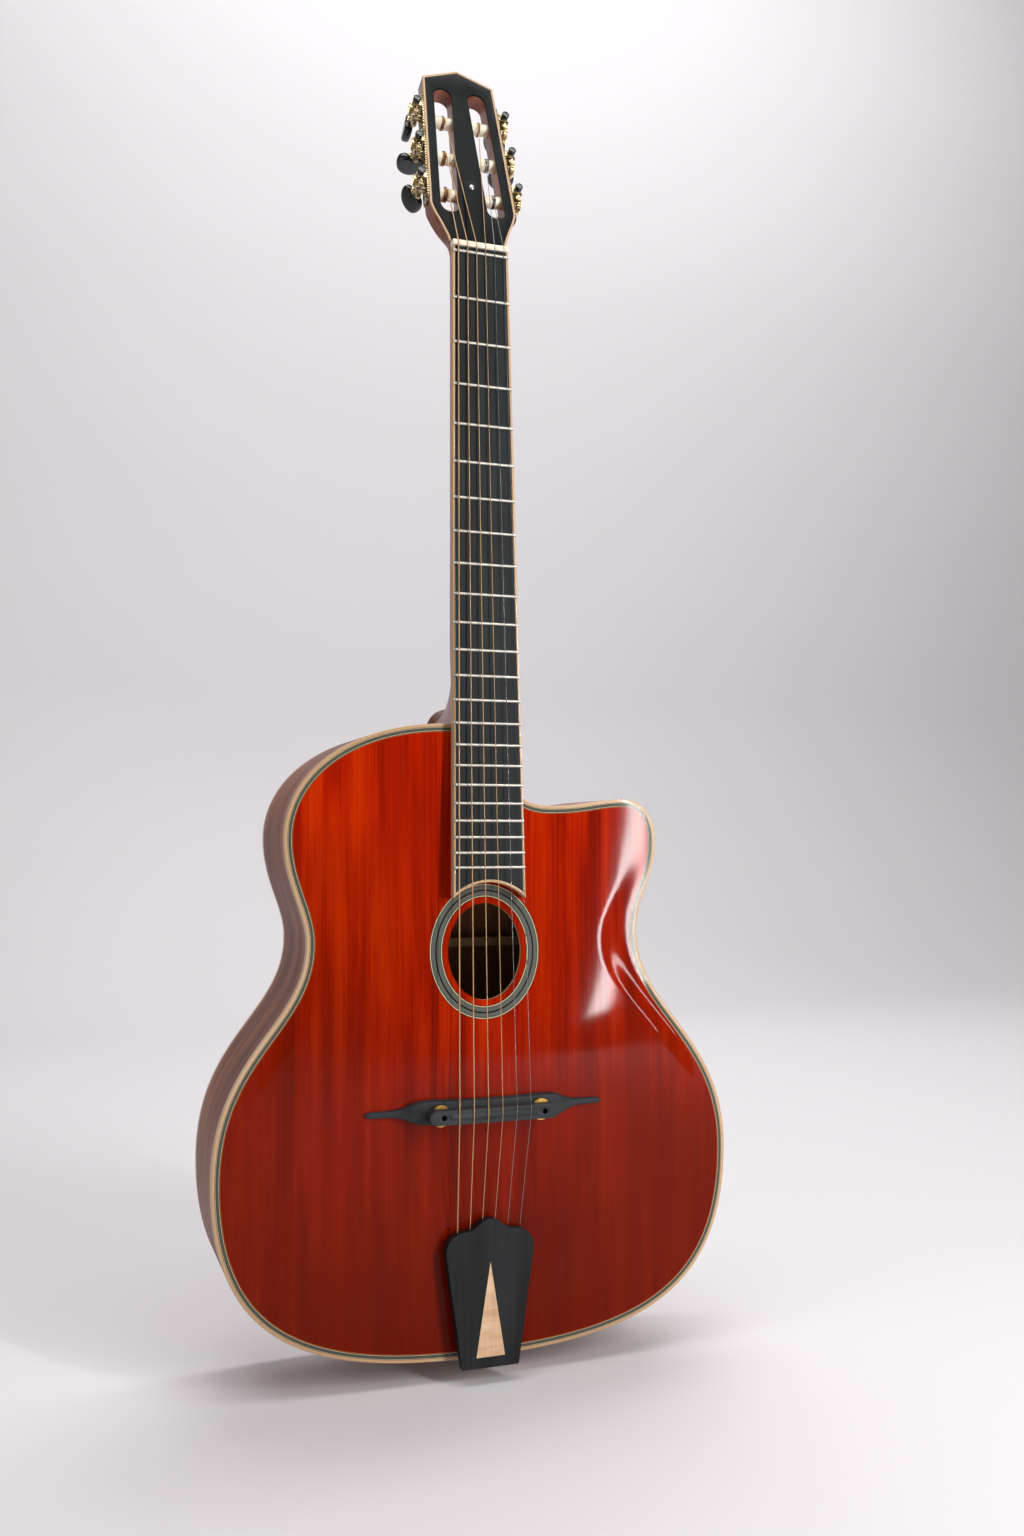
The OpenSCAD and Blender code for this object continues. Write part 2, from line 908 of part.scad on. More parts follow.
module thumbwheel(dir) {
    color("gold")
        translate([dir * wheel_x, saddle_y + saddle_t + wheel_t, saddle_z])
            rotate([90, 0, 0])
                difference() {
                    cylinder(h = wheel_t, r = wheel_r);
                    translate([0, 0, -1])
                        cylinder(h = wheel_t + 2, r = post_r + run_gap);
                }
}

module saddle() {
    color("dimgray")
        difference() {
            slab(saddle_y, saddle_y + saddle_t) {
                translate([-saddle_half + saddle_w / 2, saddle_z - saddle_w / 2])
                    square([2 * saddle_half - saddle_w, saddle_w]);
                for (dir = [-1, 1])
                    translate([dir * (saddle_half - saddle_w / 2), saddle_z])
                        circle(r = saddle_w / 2);
            }
            for (x = post_x)
                translate([x, saddle_y + saddle_t + 1, saddle_z])
                    rotate([90, 0, 0])
                        cylinder(h = saddle_t + 2, r = post_r + run_gap);
        }
}

// ---------- tailpiece ----------

tail_y0 = y_front - 14;
tail_y1 = y_front - 6.5;
tail_end = -3;
tail_top = tail_len + tail_end;
tail_curves = [
    [[0, tail_top], [9, tail_top], [11, tail_top - 8.5], [19, tail_top - 8.5]],
    [[19, tail_top - 8.5], [27, tail_top - 8.5], [35, tail_top - 13], [35, tail_top - 24]]];
tail_right = [for (k = tail_curves) each run(k, 10), [35, tail_top - 24], [22.5, tail_end]];
inlay_points = [[-11.4, 5], [11.4, 5], [0, 76]];

module tailpiece() {
    color("black")
        difference() {
            slab(tail_y0, tail_y1)
                polygon([each tail_right,
                    for (i = [len(tail_right) - 1:-1:1]) [-tail_right[i][0], tail_right[i][1]]]);
            slab(tail_y0 - 1, tail_y0 + 1.5)
                polygon(inlay_points);
        }
}

module tailpiece_inlay() {
    color("khaki")
        slab(tail_y0, tail_y0 + 1.5)
            polygon(inlay_points);
}

// A bent strap: under the tailpiece, over the body's edge and down the tail.
bracket_t = 1.6;
bracket_half = 12;
bracket_screws = [[0, -34], [0, -14]];
module bracket_side() {
    polygon([[tail_y1, 30], [tail_y1, -bracket_t], [14, -bracket_t], [14, 0],
        [tail_y1 + bracket_t, 0], [tail_y1 + bracket_t, 30]]);
}

module tailpiece_bracket() {
    color("gold")
        difference() {
            translate([-bracket_half, 0, 0])
                rotate([90, 0, 90])
                    linear_extrude(2 * bracket_half)
                        bracket_side();
            translate([0, 0, -2 * bracket_t])
                cylinder(h = 3 * bracket_t, r = pin_r + glue_gap);
            for (p = bracket_screws)
                translate([p[0], p[1], -2 * bracket_t])
                    cylinder(h = 3 * bracket_t, r = screw_r);
        }
}

module end_pin() {
    color("black")
        rotate_extrude()
            polygon([[0, 19.5], [pin_r, 19.5], [pin_r, -bracket_t], [5.5, -bracket_t], [5.5, -4], [3.6, -7],
                [3.6, -9], [6.6, -11], [7.2, -13], [6.4, -15], [0, -15.6]]);
}

// ---------- strings ----------

// The roller that each string goes to, and how far from the centre line it reaches it
roller_of = [1, 2, 3, 6, 5, 4];
roller_side_x = [-19, -17, -14.5, 14.5, 17, 19];
function at_x(v, a) = [v[0], v[1] * cos(a) - v[2] * sin(a), v[1] * sin(a) + v[2] * cos(a)];
function neck_point(p) = [0, y_front - board_rise, body_len] + at_x(p, -neck_lean);
function head_point(p) = neck_point([0, head_drop, neck_len] + at_x(p, -head_lean));
function string_r(i) = i < 5 ? wound_r - 0.08 * (i - 1) : plain_r - 0.04 * (i - 5);
// Heights of the tailpiece's upper edge where the strings leave it, from the outside inwards
tail_heights = [tail_top - 8.3, tail_top - 7.2, tail_top - 0.6];

module strings() {
    around = 8;
    color("peru")
        for (i = [1:6]) {
            r = string_r(i);
            side = string_place(i);
            slot = (roller_of[i - 1] - 1) % 3;
            tail = [side * tail_gap, tail_y0 + 4, tail_heights[2.5 - abs(side)]];
            // Level stretches over the saddle and through the nut
            rest = [for (z = [-saddle_w / 2, saddle_w / 2])
                [side * saddle_gap, saddle_y - r - glue_gap, saddle_z + z]];
            crown = [for (z = [board_top, nut_end])
                neck_point([side * string_gap, -nut_h - r, z])];
            reel = head_point([roller_side_x[i - 1], roller_y - roller_r - 0.3 - r,
                first_roller + slot * tuner_step]);
            ringed_skin([for (p = [tail, each rest, each crown, reel], j = [0:around - 1])
                p + r * [cos(360 * j / around), sin(360 * j / around), 0]], around);
        }
}

soundboard();
back_plate();
side(-1);  // side_bass
side(1);  // side_treble
neck_block();
tail_block();
linings();
braces(-1, [55, 122, 232, 262, 362]);  // top_braces
braces(1, [80, 190, 310, 395]);  // back_braces
body_binding();
top_purfling();
rosette();
neck();
heel_cap();
truss_rod();
truss_rod_cover();
screws();
fretboard();
fretboard_binding();
fretboard_riser();
frets();
nut();
headstock_face();
headstock_binding();
tuner_plate(-1);  // tuner_plate_bass
tuner_plate(1);  // tuner_plate_treble
for (k = [1:6]) {
    worm(k);
    button(k);
    gear(k);
    roller(k);
}
bridge_base();
bridge_posts();
thumbwheel(-1);  // thumbwheel_bass
thumbwheel(1);  // thumbwheel_treble
saddle();
tailpiece();
tailpiece_inlay();
tailpiece_bracket();
end_pin();
strings();
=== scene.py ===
"""A gypsy-jazz style cutaway guitar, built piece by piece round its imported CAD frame."""
import math

import bmesh
import bpy
import numpy as np
from mathutils import Matrix, Vector


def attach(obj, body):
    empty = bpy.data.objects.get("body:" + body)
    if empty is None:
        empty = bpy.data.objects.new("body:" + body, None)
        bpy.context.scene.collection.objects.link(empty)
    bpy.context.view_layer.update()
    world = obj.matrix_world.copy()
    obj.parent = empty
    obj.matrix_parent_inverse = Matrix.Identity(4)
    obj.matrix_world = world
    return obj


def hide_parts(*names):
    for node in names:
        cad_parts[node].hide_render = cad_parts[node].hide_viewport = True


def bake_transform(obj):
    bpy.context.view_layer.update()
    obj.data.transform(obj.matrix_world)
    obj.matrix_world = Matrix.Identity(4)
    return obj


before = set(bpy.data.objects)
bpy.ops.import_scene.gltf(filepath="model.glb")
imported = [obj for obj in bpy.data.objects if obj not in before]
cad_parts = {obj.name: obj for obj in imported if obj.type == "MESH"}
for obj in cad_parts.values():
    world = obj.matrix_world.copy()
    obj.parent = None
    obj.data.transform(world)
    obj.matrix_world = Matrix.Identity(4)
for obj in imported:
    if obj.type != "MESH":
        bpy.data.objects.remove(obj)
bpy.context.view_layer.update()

# ---------------------------------------------------------------- studio
# A pale paper sweep, two tall thin strip lights on the right that the lacquer mirrors, a wide fill
# on the left, a softbox above, a square lamp behind and a wash on the paper. The guitar stands on
# its end pin.


def add(tree, kind, settings=None, links=None):
    """Adds a node: settings by property, socket name or socket number; links by socket."""
    node = tree.nodes.new(kind)
    for key, value in (settings or {}).items():
        if key == "stops":
            ramp = node.color_ramp
            while len(ramp.elements) < len(value):
                ramp.elements.new(0.5)
            for element, (place, colour) in zip(ramp.elements, value):
                element.position = place
                element.color = srgb(colour)
        elif isinstance(key, str) and hasattr(node, key):
            setattr(node, key, value)
        else:
            node.inputs[key].default_value = value
    for key, source in (links or {}).items():
        socket = source if isinstance(source, bpy.types.NodeSocket) else source.outputs[0]
        tree.links.new(socket, node.inputs[key])
    return node


def srgb(code):
    """A colour written as #rrggbb, as the linear values that shaders take."""
    parts = [int(code[i:i + 2], 16) / 255 for i in (1, 3, 5)]
    linear = [c / 12.92 if c <= 0.04045 else ((c + 0.055) / 1.055) ** 2.4 for c in parts]
    return linear + [1.0]


def new_finish(name, settings):
    """A material with its shader, whose uniform values are set here."""
    material = bpy.data.materials.new(name)
    material.use_nodes = True
    tree = material.node_tree
    tree.nodes.clear()
    shader = add(tree, "ShaderNodeBsdfPrincipled", settings)
    add(tree, "ShaderNodeOutputMaterial", {}, {"Surface": shader})
    return material, tree, shader


def grid_faces(rows, cols):
    """Quads over rows of points that follow one another."""
    return [(r * cols + c, r * cols + c + 1, (r + 1) * cols + c + 1, (r + 1) * cols + c)
            for r in range(rows - 1) for c in range(cols - 1)]


def build(name, points, faces, materials, place=None, uv=None, sharp=25, closed=True, pick=None):
    """A mesh from points in millimetres, moved by a matrix, with its doubles merged."""
    place = place or Matrix()
    turn = np.array(place.to_3x3())
    points = np.asarray(points, float).reshape(-1, 3) @ turn.T + np.array(place.translation)
    mesh = bpy.data.meshes.new(name)
    mesh.from_pydata((points * 0.001).tolist(), [], faces)
    if uv is not None:
        layer = mesh.uv_layers.new(name="along")
        index = np.empty(len(mesh.loops), dtype=int)
        mesh.loops.foreach_get("vertex_index", index)
        layer.data.foreach_set("uv", np.asarray(uv, float).reshape(-1, 2)[index].ravel())
    for material in materials if isinstance(materials, list) else [materials]:
        mesh.materials.append(material)
    if pick is not None:
        mesh.polygons.foreach_set("material_index", pick)
    work = bmesh.new()
    work.from_mesh(mesh)
    bmesh.ops.remove_doubles(work, verts=work.verts, dist=2e-6)
    if closed:
        bmesh.ops.recalc_face_normals(work, faces=work.faces)
    work.to_mesh(mesh)
    work.free()
    mesh.polygons.foreach_set("use_smooth", [True] * len(mesh.polygons))
    mesh.set_sharp_from_angle(angle=math.radians(sharp))
    obj = bpy.data.objects.new(name, mesh)
    bpy.context.scene.collection.objects.link(obj)
    return obj


sweep_side = [(-12000, -16.6)]
sweep_side += [(1900 + 900 * math.sin(a), 900 - 916.6 * math.cos(a)) for a in np.linspace(0, 1.5, 16)]
sweep_side += [(2800, 5200)]
paper, tree, shader = new_finish("matt_paper_sweep", {"Roughness": 0.85})
spot = add(tree, "ShaderNodeTexNoise", {"Scale": 3.0, "Detail": 3.0})
tint = add(tree, "ShaderNodeValToRGB", {"stops": [(0.3, "#dcd8da"), (0.7, "#e4e0e2")]}, {"Fac": spot})
tree.links.new(tint.outputs[0], shader.inputs["Base Color"])
sweep = build("paper_sweep", [(x, y, z) for y, z in sweep_side for x in (-12000, 12000)],
              grid_faces(len(sweep_side), 2), paper, closed=False)

camera_data = bpy.data.cameras.new("camera")
camera_data.lens = 31.17
camera_data.shift_x = 0.0119
camera_data.shift_y = 0.0244
camera = bpy.data.objects.new("camera", camera_data)
camera.location = (-0.33052, -1.02171, 0.39203)
camera.rotation_euler = [math.radians(a) for a in (91.628, 0.125, -19.181)]
bpy.context.scene.collection.objects.link(camera)
bpy.context.scene.camera = camera

for name, power, size, spot, aim in (
        ("key_strip", 22, (0.04, 1.7), (0.85, -1.57, 0.9), (0.1, 0, 0.42)),
        ("rim_strip", 8, (0.03, 1.3), (0.99, -1.46, 0.72), (0.1, 0, 0.42)),
        ("left_fill", 7, (1.2, 2.2), (-2.3, -0.6, 0.9), (0, 0, 0.45)),
        ("top_softbox", 19, (2.0, 0.7), (-0.2, -0.7, 2.3), (0, 0, 0.5)),
        ("back_strip", 9, (1.6, 1.6), (0.9, 1.5, 1.7), (0, 0.05, 0.5)),
        ("paper_wash", 85, (3.5, 1.0), (1.0, 0.9, 3.9), (1.0, 2.8, 1.2))):
    lamp = bpy.data.lights.new(name, "AREA")
    lamp.energy = power
    lamp.shape = "RECTANGLE"
    lamp.size, lamp.size_y = size
    holder = bpy.data.objects.new(name, lamp)
    holder.location = spot
    holder.rotation_euler = (Vector(aim) - Vector(spot)).to_track_quat("-Z", "Y").to_euler()
    bpy.context.scene.collection.objects.link(holder)
world = bpy.data.worlds.new("studio_air")
world.use_nodes = True
world.node_tree.nodes["Background"].inputs["Color"].default_value = srgb("#c9ced6")
world.node_tree.nodes["Background"].inputs["Strength"].default_value = 0.16
bpy.context.scene.world = world
bpy.context.scene.view_settings.view_transform = "Standard"

# ---------------------------------------------------------------- soundboard
# A thin spruce plate, arched over the bridge, stained red and lacquered to a mirror. The grain
# runs up the plate; the oval hole's edge shows the bare wood's thickness.
rim_y = 48.5
y_front = -rim_y
plate_t = 2.6
body_top = 484
hole_z = 309
cut_x = 27.3
binding_w = 2.5
board_gap = 6.5
bass_curves = [
    [(0, 0), (-130, 0), (-207, 28), (-207, 146)],
    [(-207, 146), (-207, 242), (-138, 256), (-138, 318)],
    [(-138, 318), (-138, 342), (-155, 362), (-155, 396)],
    [(-155, 396), (-155, 444), (-106, body_top), (-cut_x, body_top)]]
treble_curves = [
    [(cut_x, 430), (40, 420.5), (52, 421), (70, 422)],
    [(70, 422), (88, 423), (100, 427), (118, 427)],
    [(118, 427), (134, 427), (146, 416), (146, 394)],
    [(146, 394), (146, 362), (129, 350), (129, 321)],
    [(129, 321), (129, 260), (207, 236), (207, 146)],
    [(207, 146), (207, 28), (130, 0), (0, 0)]]


def curve_points(handles, steps):
    """Points along a cubic curve, without its last one."""
    a, b, c, d = (np.array(p, float) for p in handles)
    t = (np.arange(steps) / steps)[:, None]
    return (1 - t) ** 3 * a + 3 * t * (1 - t) ** 2 * b + 3 * t * t * (1 - t) * c + t ** 3 * d


def inset(loop, d):
    """A closed outline, run clockwise, moved inwards by d with its corners mitred."""
    before = loop - np.roll(loop, 1, 0)
    after = np.roll(loop, -1, 0) - loop
    before /= np.linalg.norm(before, axis=1)[:, None]
    after /= np.linalg.norm(after, axis=1)[:, None]
    na = np.stack([before[:, 1], -before[:, 0]], 1)
    nb = np.stack([after[:, 1], -after[:, 0]], 1)
    return loop + d * (na + nb) / (1 + (na * nb).sum(1))[:, None]


bass_edge = np.concatenate([curve_points(k, 40) for k in bass_curves])
joint_edge = np.stack([np.linspace(-cut_x, cut_x, 13)[:-1], np.full(12, body_top)], 1)
cheek_edge = np.stack([np.full(12, cut_x), np.linspace(body_top, 430, 13)[:-1]], 1)
treble_edge = np.concatenate([curve_points(k, 32) for k in treble_curves])
outline = np.concatenate([bass_edge, joint_edge, cheek_edge, treble_edge])
heart = np.array([0.0, hole_z])


def arch(x, z, rim_gap):
    """Height of the arch over the plate's edge: a dome that dies away towards the rim."""
    r = np.hypot(x, z - 185)
    dome = np.where(r < 100, 4.5 * (1 - (r / 160) ** 2), 1.127e-4 * np.maximum(255.97 - r, 0) ** 2)
    fade = np.clip(rim_gap / 28, 0, 1)
    return dome * fade * fade * (3 - 2 * fade)


def reach(rim, rx, rz):
    """Distance from the hole's middle to an ellipse round it, towards each rim point."""
    way = rim - heart
    way = way / np.linalg.norm(way, axis=1)[:, None]
    return 1 / np.hypot(way[:, 0] / rx, way[:, 1] / rz)


def plate_rings(rim, radii, level, facing):
    """Rings of points on an arched plate; radii hold the distances for every rim point."""
    way = rim - heart
    full = np.linalg.norm(way, axis=1)
    way = way / full[:, None]
    rings = []
    for r in radii:
        flat = heart + way * np.broadcast_to(r, full.shape)[:, None]
        high = arch(flat[:, 0], flat[:, 1], full - r)
        y = facing * (level + high)
        rings.append(np.stack([flat[:, 0], y, flat[:, 1]], 1))
    return np.array(rings)


def shell(name, rings, material, uv=None, **more):
    """A skin over rings of points that each close on themselves."""
    rings = np.concatenate([rings, rings[:, :1]], axis=1)
    rows, cols = rings.shape[:2]
    return build(name, rings, grid_faces(rows, cols), material, uv=uv, **more)


def wood(name, tones, lines, streaks, gloss, coat=1.0, bump=0.05, source="Object", folded=False,
         shine=0.5, cloud=None):
    """Planed wood under lacquer: fine growth lines and broad cloudy streaks.

    tones run from dark to light; lines and streaks are repeats per metre on each axis. shine is
    the specular level; cloud is a colour and a scale for painted shade that darkens towards the foot."""
    settings = {"Roughness": gloss, "Coat Weight": coat, "Coat Roughness": 0.05,
                "Specular IOR Level": shine}
    material, tree, shader = new_finish(name, settings)
    place = add(tree, "ShaderNodeTexCoord").outputs[source]
    if folded:
        apart = add(tree, "ShaderNodeSeparateXYZ", {}, {0: place})
        across = add(tree, "ShaderNodeMath", {"operation": "ABSOLUTE"}, {0: apart.outputs[0]})
        place = add(tree, "ShaderNodeCombineXYZ", {},
                    {0: across, 1: apart.outputs[1], 2: apart.outputs[2]}).outputs[0]
    fine_at = add(tree, "ShaderNodeMapping", {"Scale": lines}, {"Vector": place})
    fine = add(tree, "ShaderNodeTexNoise", {"Scale": 1.0, "Detail": 4.0, "Roughness": 0.62},
               {"Vector": fine_at})
    broad_at = add(tree, "ShaderNodeMapping", {"Scale": streaks, "Location": (3.1, 1.7, 5.3)},
                   {"Vector": place})
    broad = add(tree, "ShaderNodeTexNoise", {"Scale": 1.0, "Detail": 3.0, "Distortion": 0.4},
                {"Vector": broad_at})
    mixed = add(tree, "ShaderNodeMath", {"operation": "MULTIPLY_ADD", 1: 0.55}, {0: fine, 2: broad})
    level = add(tree, "ShaderNodeMath", {"operation": "MULTIPLY", 1: 0.645}, {0: mixed})
    ramp = add(tree, "ShaderNodeValToRGB",
               {"stops": [(0.34, tones[0]), (0.5, tones[1]), (0.64, tones[2])]}, {"Fac": level})
    colour = ramp.outputs[0]
    if cloud:
        # Painted shade: the cloud colour comes in, in uneven patches, more and more towards the foot.
        patch = add(tree, "ShaderNodeTexNoise", {"Scale": cloud[1], "Detail": 2.0}, {"Vector": place})
        height = add(tree, "ShaderNodeSeparateXYZ", {}, {0: place}).outputs[2]
        foot_shade_level = add(tree, "ShaderNodeMath", {"operation": "MULTIPLY_ADD", 1: -2.6}, {0: height, 2: patch})
        amount = add(tree, "ShaderNodeMapRange", {1: -0.55, 2: 0.25, 4: 0.85}, {0: foot_shade_level})
        colour = add(tree, "ShaderNodeMix", {"data_type": "RGBA", 7: srgb(cloud[0])},
                     {0: amount, 6: ramp}).outputs[2]
    tree.links.new(colour, shader.inputs["Base Color"])
    relief = add(tree, "ShaderNodeBump", {"Strength": bump, "Distance": 0.0004}, {"Height": fine})
    tree.links.new(relief.outputs[0], shader.inputs["Normal"])
    return material


# Growth rings about 2 mm apart; darker stain bands 15 to 40 mm wide.
# The cloud colour is painted shade that darkens the top towards its foot.
red_spruce = wood("stained_lacquered_spruce", ("#740f01", "#a01a01", "#bb2c02"),
                  (470, 470, 3.5), (60, 20, 4.5), 0.5, coat=0.17, shine=0.0, cloud=("#5c1302", 5.5))
raw_spruce = wood("bare_planed_spruce", ("#b58f5e", "#cfae7d", "#dec59a"),
                  (470, 470, 4), (30, 30, 3), 0.7, coat=0.0, bump=0.2)

board_rim = inset(outline, board_gap)
to_rim = np.linalg.norm(board_rim - heart, axis=1)
to_hole = reach(board_rim, 29.5, 37)
to_ring = reach(board_rim, 34.1, 41.6)
past_ring = reach(board_rim, 44.5, 52)
spread = [1 - (1 - t) ** 1.25 for t in np.linspace(0, 1, 30)]
outer_radii = [to_hole + 0.4]
outer_radii += [to_hole + (past_ring - to_hole) * t for t in np.linspace(0.08, 1, 9)]
outer_radii += [past_ring + (to_rim - past_ring) * t for t in spread[1:]]
outer = plate_rings(board_rim, outer_radii, rim_y, -1)
eased = plate_rings(board_rim, [to_hole], 48.1, -1)
inner = plate_rings(board_rim, list(reversed(outer_radii[1:])) + [to_hole], rim_y - plate_t, -1)
rings = np.concatenate([eased, outer, inner, eased])
rows, cols = rings.shape[:2]
bare_rows = range(len(outer), rows - 1)
pick = [1 if r in bare_rows else 0 for r in range(rows - 1) for c in range(cols)]
soundboard = shell("soundboard_lacquered", rings, [red_spruce, raw_spruce], pick=pick)
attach(soundboard, "guitar")
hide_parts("soundboard")

# ---------------------------------------------------------------- rosette and purfling
# Inlaid strips in the soundboard: thin black and white lines beside a grey-green band, glued in
# a routed ring and scraped flush, then lacquered over with the top.


def inlay_lines(name, stops):
    """Veneer lines laid across a strip, from its inner edge at 0 to its outer edge at 1."""
    material, tree, shader = new_finish(name, {"Roughness": 0.5, "Coat Weight": 0.15,
                                               "Coat Roughness": 0.05, "Specular IOR Level": 0.1})
    place = add(tree, "ShaderNodeTexCoord").outputs["UV"]
    across = add(tree, "ShaderNodeSeparateXYZ", {}, {0: place})
    ramp = add(tree, "ShaderNodeValToRGB", {"stops": stops}, {"Fac": across.outputs[1]})
    ramp.color_ramp.interpolation = "CONSTANT"
    fibre_at = add(tree, "ShaderNodeMapping", {"Scale": (400, 14, 1)}, {"Vector": place})
    fibre = add(tree, "ShaderNodeTexNoise", {"Scale": 1.0, "Detail": 2.0}, {"Vector": fibre_at})
    shade = add(tree, "ShaderNodeMix", {"data_type": "RGBA", "blend_type": "MULTIPLY", 0: 0.35},
                {6: ramp, 7: fibre})
    tree.links.new(shade.outputs[2], shader.inputs["Base Color"])
    return material


def strip_uv(rings, across):
    """UVs of a strip: metres along its length, and the given place across for each ring."""
    rings = np.concatenate([rings, rings[:, :1]], axis=1)
    steps = np.linalg.norm(np.diff(rings, axis=1), axis=2).mean(0)
    along = np.concatenate([[0], np.cumsum(steps)]) * 0.001
    return np.array([[(u, v) for u in along] for v in across])


rosette_lines = inlay_lines("veneer_line_rosette", [
    (0.0, "#1a1712"), (0.05, "#d8c9a0"), (0.11, "#1a1712"), (0.16, "#5f635b"), (0.44, "#14120f"),
    (0.56, "#5f635b"), (0.84, "#1a1712"), (0.89, "#d8c9a0"), (0.95, "#1a1712")])
proud = 0.03
steps = np.linspace(0, 1, 7)
face_radii = [to_ring + (past_ring - to_ring) * t for t in steps]
face = plate_rings(board_rim, face_radii, rim_y + proud, -1)
under = plate_rings(board_rim, face_radii[::-1], 47.6, -1)
rings = np.concatenate([face, under, face[:1]])
rosette = shell("rosette_inlaid", rings, rosette_lines,
                uv=strip_uv(rings, [*steps, *steps[::-1], 0]))
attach(rosette, "guitar")
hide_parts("rosette")

purfling_lines = inlay_lines("veneer_line_purfling", [
    (0.0, "#b8531c"), (0.1, "#191612"), (0.2, "#d8c9a0"), (0.29, "#191612"), (0.36, "#54544b"),
    (0.76, "#191612"), (0.84, "#d8c9a0"), (0.92, "#191612")])


def edge_strip(insets, levels, part=slice(None), loop=outline):
    """Rings of points along the body's outline at the given insets and levels of Y."""
    rings = []
    for d, y in zip(insets, levels):
        flat = inset(loop, d)[part]
        rings.append(np.stack([flat[:, 0], np.full(len(flat), y), flat[:, 1]], 1))
    return np.array(rings)


rings = edge_strip([board_gap, binding_w, binding_w, board_gap, board_gap],
                   [y_front - proud, y_front - proud, y_front + 1, y_front + 1, y_front - proud])
purfling = shell("purfling_inlaid", rings, purfling_lines, uv=strip_uv(rings, [0, 1, 1, 0, 0]))
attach(purfling, "guitar")
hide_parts("top_purfling")

# ---------------------------------------------------------------- bindings
# Pale maple strips bent round both edges of the body, let into a rebate over the sides and
# scraped to a small round. Their grain runs along the strip.
maple_strip = wood("scraped_maple_binding", ("#a8825c", "#c09b73", "#d2b28e"),
                   (9, 900, 1), (3, 160, 1), 0.4, coat=0.3, source="UV", shine=0.3)
rib_y = 42.5
ease = 0.7
for facing, node in ((-1, "front"), (1, "back")):
    corner = [(ease * (1 - math.sin(a)), rim_y - ease * (1 - math.cos(a)))
              for a in np.linspace(0, math.pi / 2, 5)]
    section = [(binding_w, rim_y)] + corner + [(0, rib_y), (binding_w, rib_y), (binding_w, rim_y)]
    rings = edge_strip([d for d, y in section], [facing * y for d, y in section])
    across = np.concatenate([[0], np.cumsum([math.dist(section[i], section[i + 1]) * 0.001
                                             for i in range(len(section) - 1)])])
    strip = shell("binding_" + node, rings, maple_strip, uv=strip_uv(rings, across))
    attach(strip, "guitar")
    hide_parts("body_binding")

# ---------------------------------------------------------------- sides
# Two thin ribs bent over a hot pipe, figured pinkish-brown wood under gloss lacquer. The treble
# rib turns in to form the cutaway. They meet at the tail and at the neck.
rib_wood = wood("lacquered_mahogany_rib", ("#54291a", "#7c4230", "#99603f"),
                (7, 520, 1), (9, 46, 1), 0.5, coat=0.1, source="UV", bump=0.03, shine=0.1)
joint_at = len(bass_edge) + 6
halves = (("bass", slice(0, joint_at + 1)), ("treble", slice(joint_at, None)))
over = list(np.linspace(-rib_y, rib_y, 7))
rib_levels = over + over[::-1] + over[:1]
insets = [0] * 7 + [binding_w] * 7 + [0]
for label, part in halves:
    rings = edge_strip(insets, rib_levels, part)
    if label == "treble":
        rings = np.concatenate([rings, edge_strip(insets, rib_levels, slice(0, 1))], axis=1)
    rows, cols = rings.shape[:2]
    steps = np.linalg.norm(np.diff(rings, axis=1), axis=2).mean(0)
    along = np.concatenate([[0], np.cumsum(steps)]) * 0.001
    uv = np.array([[(u, y * 0.001) for u in along] for y in rib_levels])
    faces = grid_faces(rows, cols)
    faces += [tuple(r * cols for r in range(rows - 1)),
              tuple(r * cols + cols - 1 for r in reversed(range(rows - 1)))]
    rib = build("rib_" + label, rings, faces, rib_wood, uv=uv)
    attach(rib, "guitar")
    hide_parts("side_" + label)

# ---------------------------------------------------------------- back
# Two book-matched boards of the ribs' wood, arched outwards like the top, lacquered outside and
# left bare inside.
back_wood = wood("lacquered_mahogany_back", ("#713f28", "#9c6240", "#b47a55"),
                 (520, 520, 5), (46, 20, 3), 0.3, folded=True, bump=0.03)
back_bare = wood("bare_mahogany_inside", ("#8a5c3e", "#a87850", "#bd8f66"),
                 (520, 520, 5), (40, 20, 3), 0.65, coat=0.0, folded=True, bump=0.15)
back_rim = inset(outline, binding_w)
to_rim = np.linalg.norm(back_rim - heart, axis=1)
back_radii = [to_rim * t for t in 1 - (1 - np.linspace(0.0, 1, 34)) ** 1.2]
outside = plate_rings(back_rim, back_radii, rim_y, 1)
inside = plate_rings(back_rim, back_radii[::-1], rim_y - plate_t, 1)
rings = np.concatenate([outside, inside])
rows, cols = rings.shape[:2]
pick = [1 if r >= len(outside) else 0 for r in range(rows - 1) for c in range(cols)]
back = shell("back_lacquered", rings, [back_wood, back_bare], pick=pick)
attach(back, "guitar")
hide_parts("back_plate")

# ---------------------------------------------------------------- inside of the box
# Spruce blocks, kerfed linings and ladder braces, planed and left bare. They are seen only
# through the soundhole, so the frame's own pieces take the bare wood.


def dress(node, material):
    """Gives one of the frame's own pieces a material."""
    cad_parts[node].data.materials.clear()
    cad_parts[node].data.materials.append(material)


for node in ("neck_block", "tail_block", "linings", "top_braces", "back_braces"):
    dress(node, raw_spruce)

# ---------------------------------------------------------------- neck
# One piece of mahogany: a shallow oval neck that swells into a curved heel at the body and
# squares out into the headstock, which leans back. Satin to gloss lacquer.
neck_len = 371.55
board_t = 6
board_half = 23
board_flare = 0.0125
scale_len = 670
neck_lean = 2.2
head_lean = 16
head_t = 15
veneer_t = 1.5


def lean(degrees):
    """A turn that leans a frame back."""
    return Matrix.Rotation(-math.radians(degrees), 4, "X")


neck_place = Matrix.Translation((0, y_front - 9, body_top)) @ lean(neck_lean)
head_place = neck_place @ Matrix.Translation((0, 3, neck_len)) @ lean(head_lean)
mahogany = wood("lacquered_mahogany_neck", ("#6c3827", "#8c513a", "#a46c50"),
                (430, 430, 9), (60, 60, 5), 0.42, coat=0.35, bump=0.05, shine=0.25)


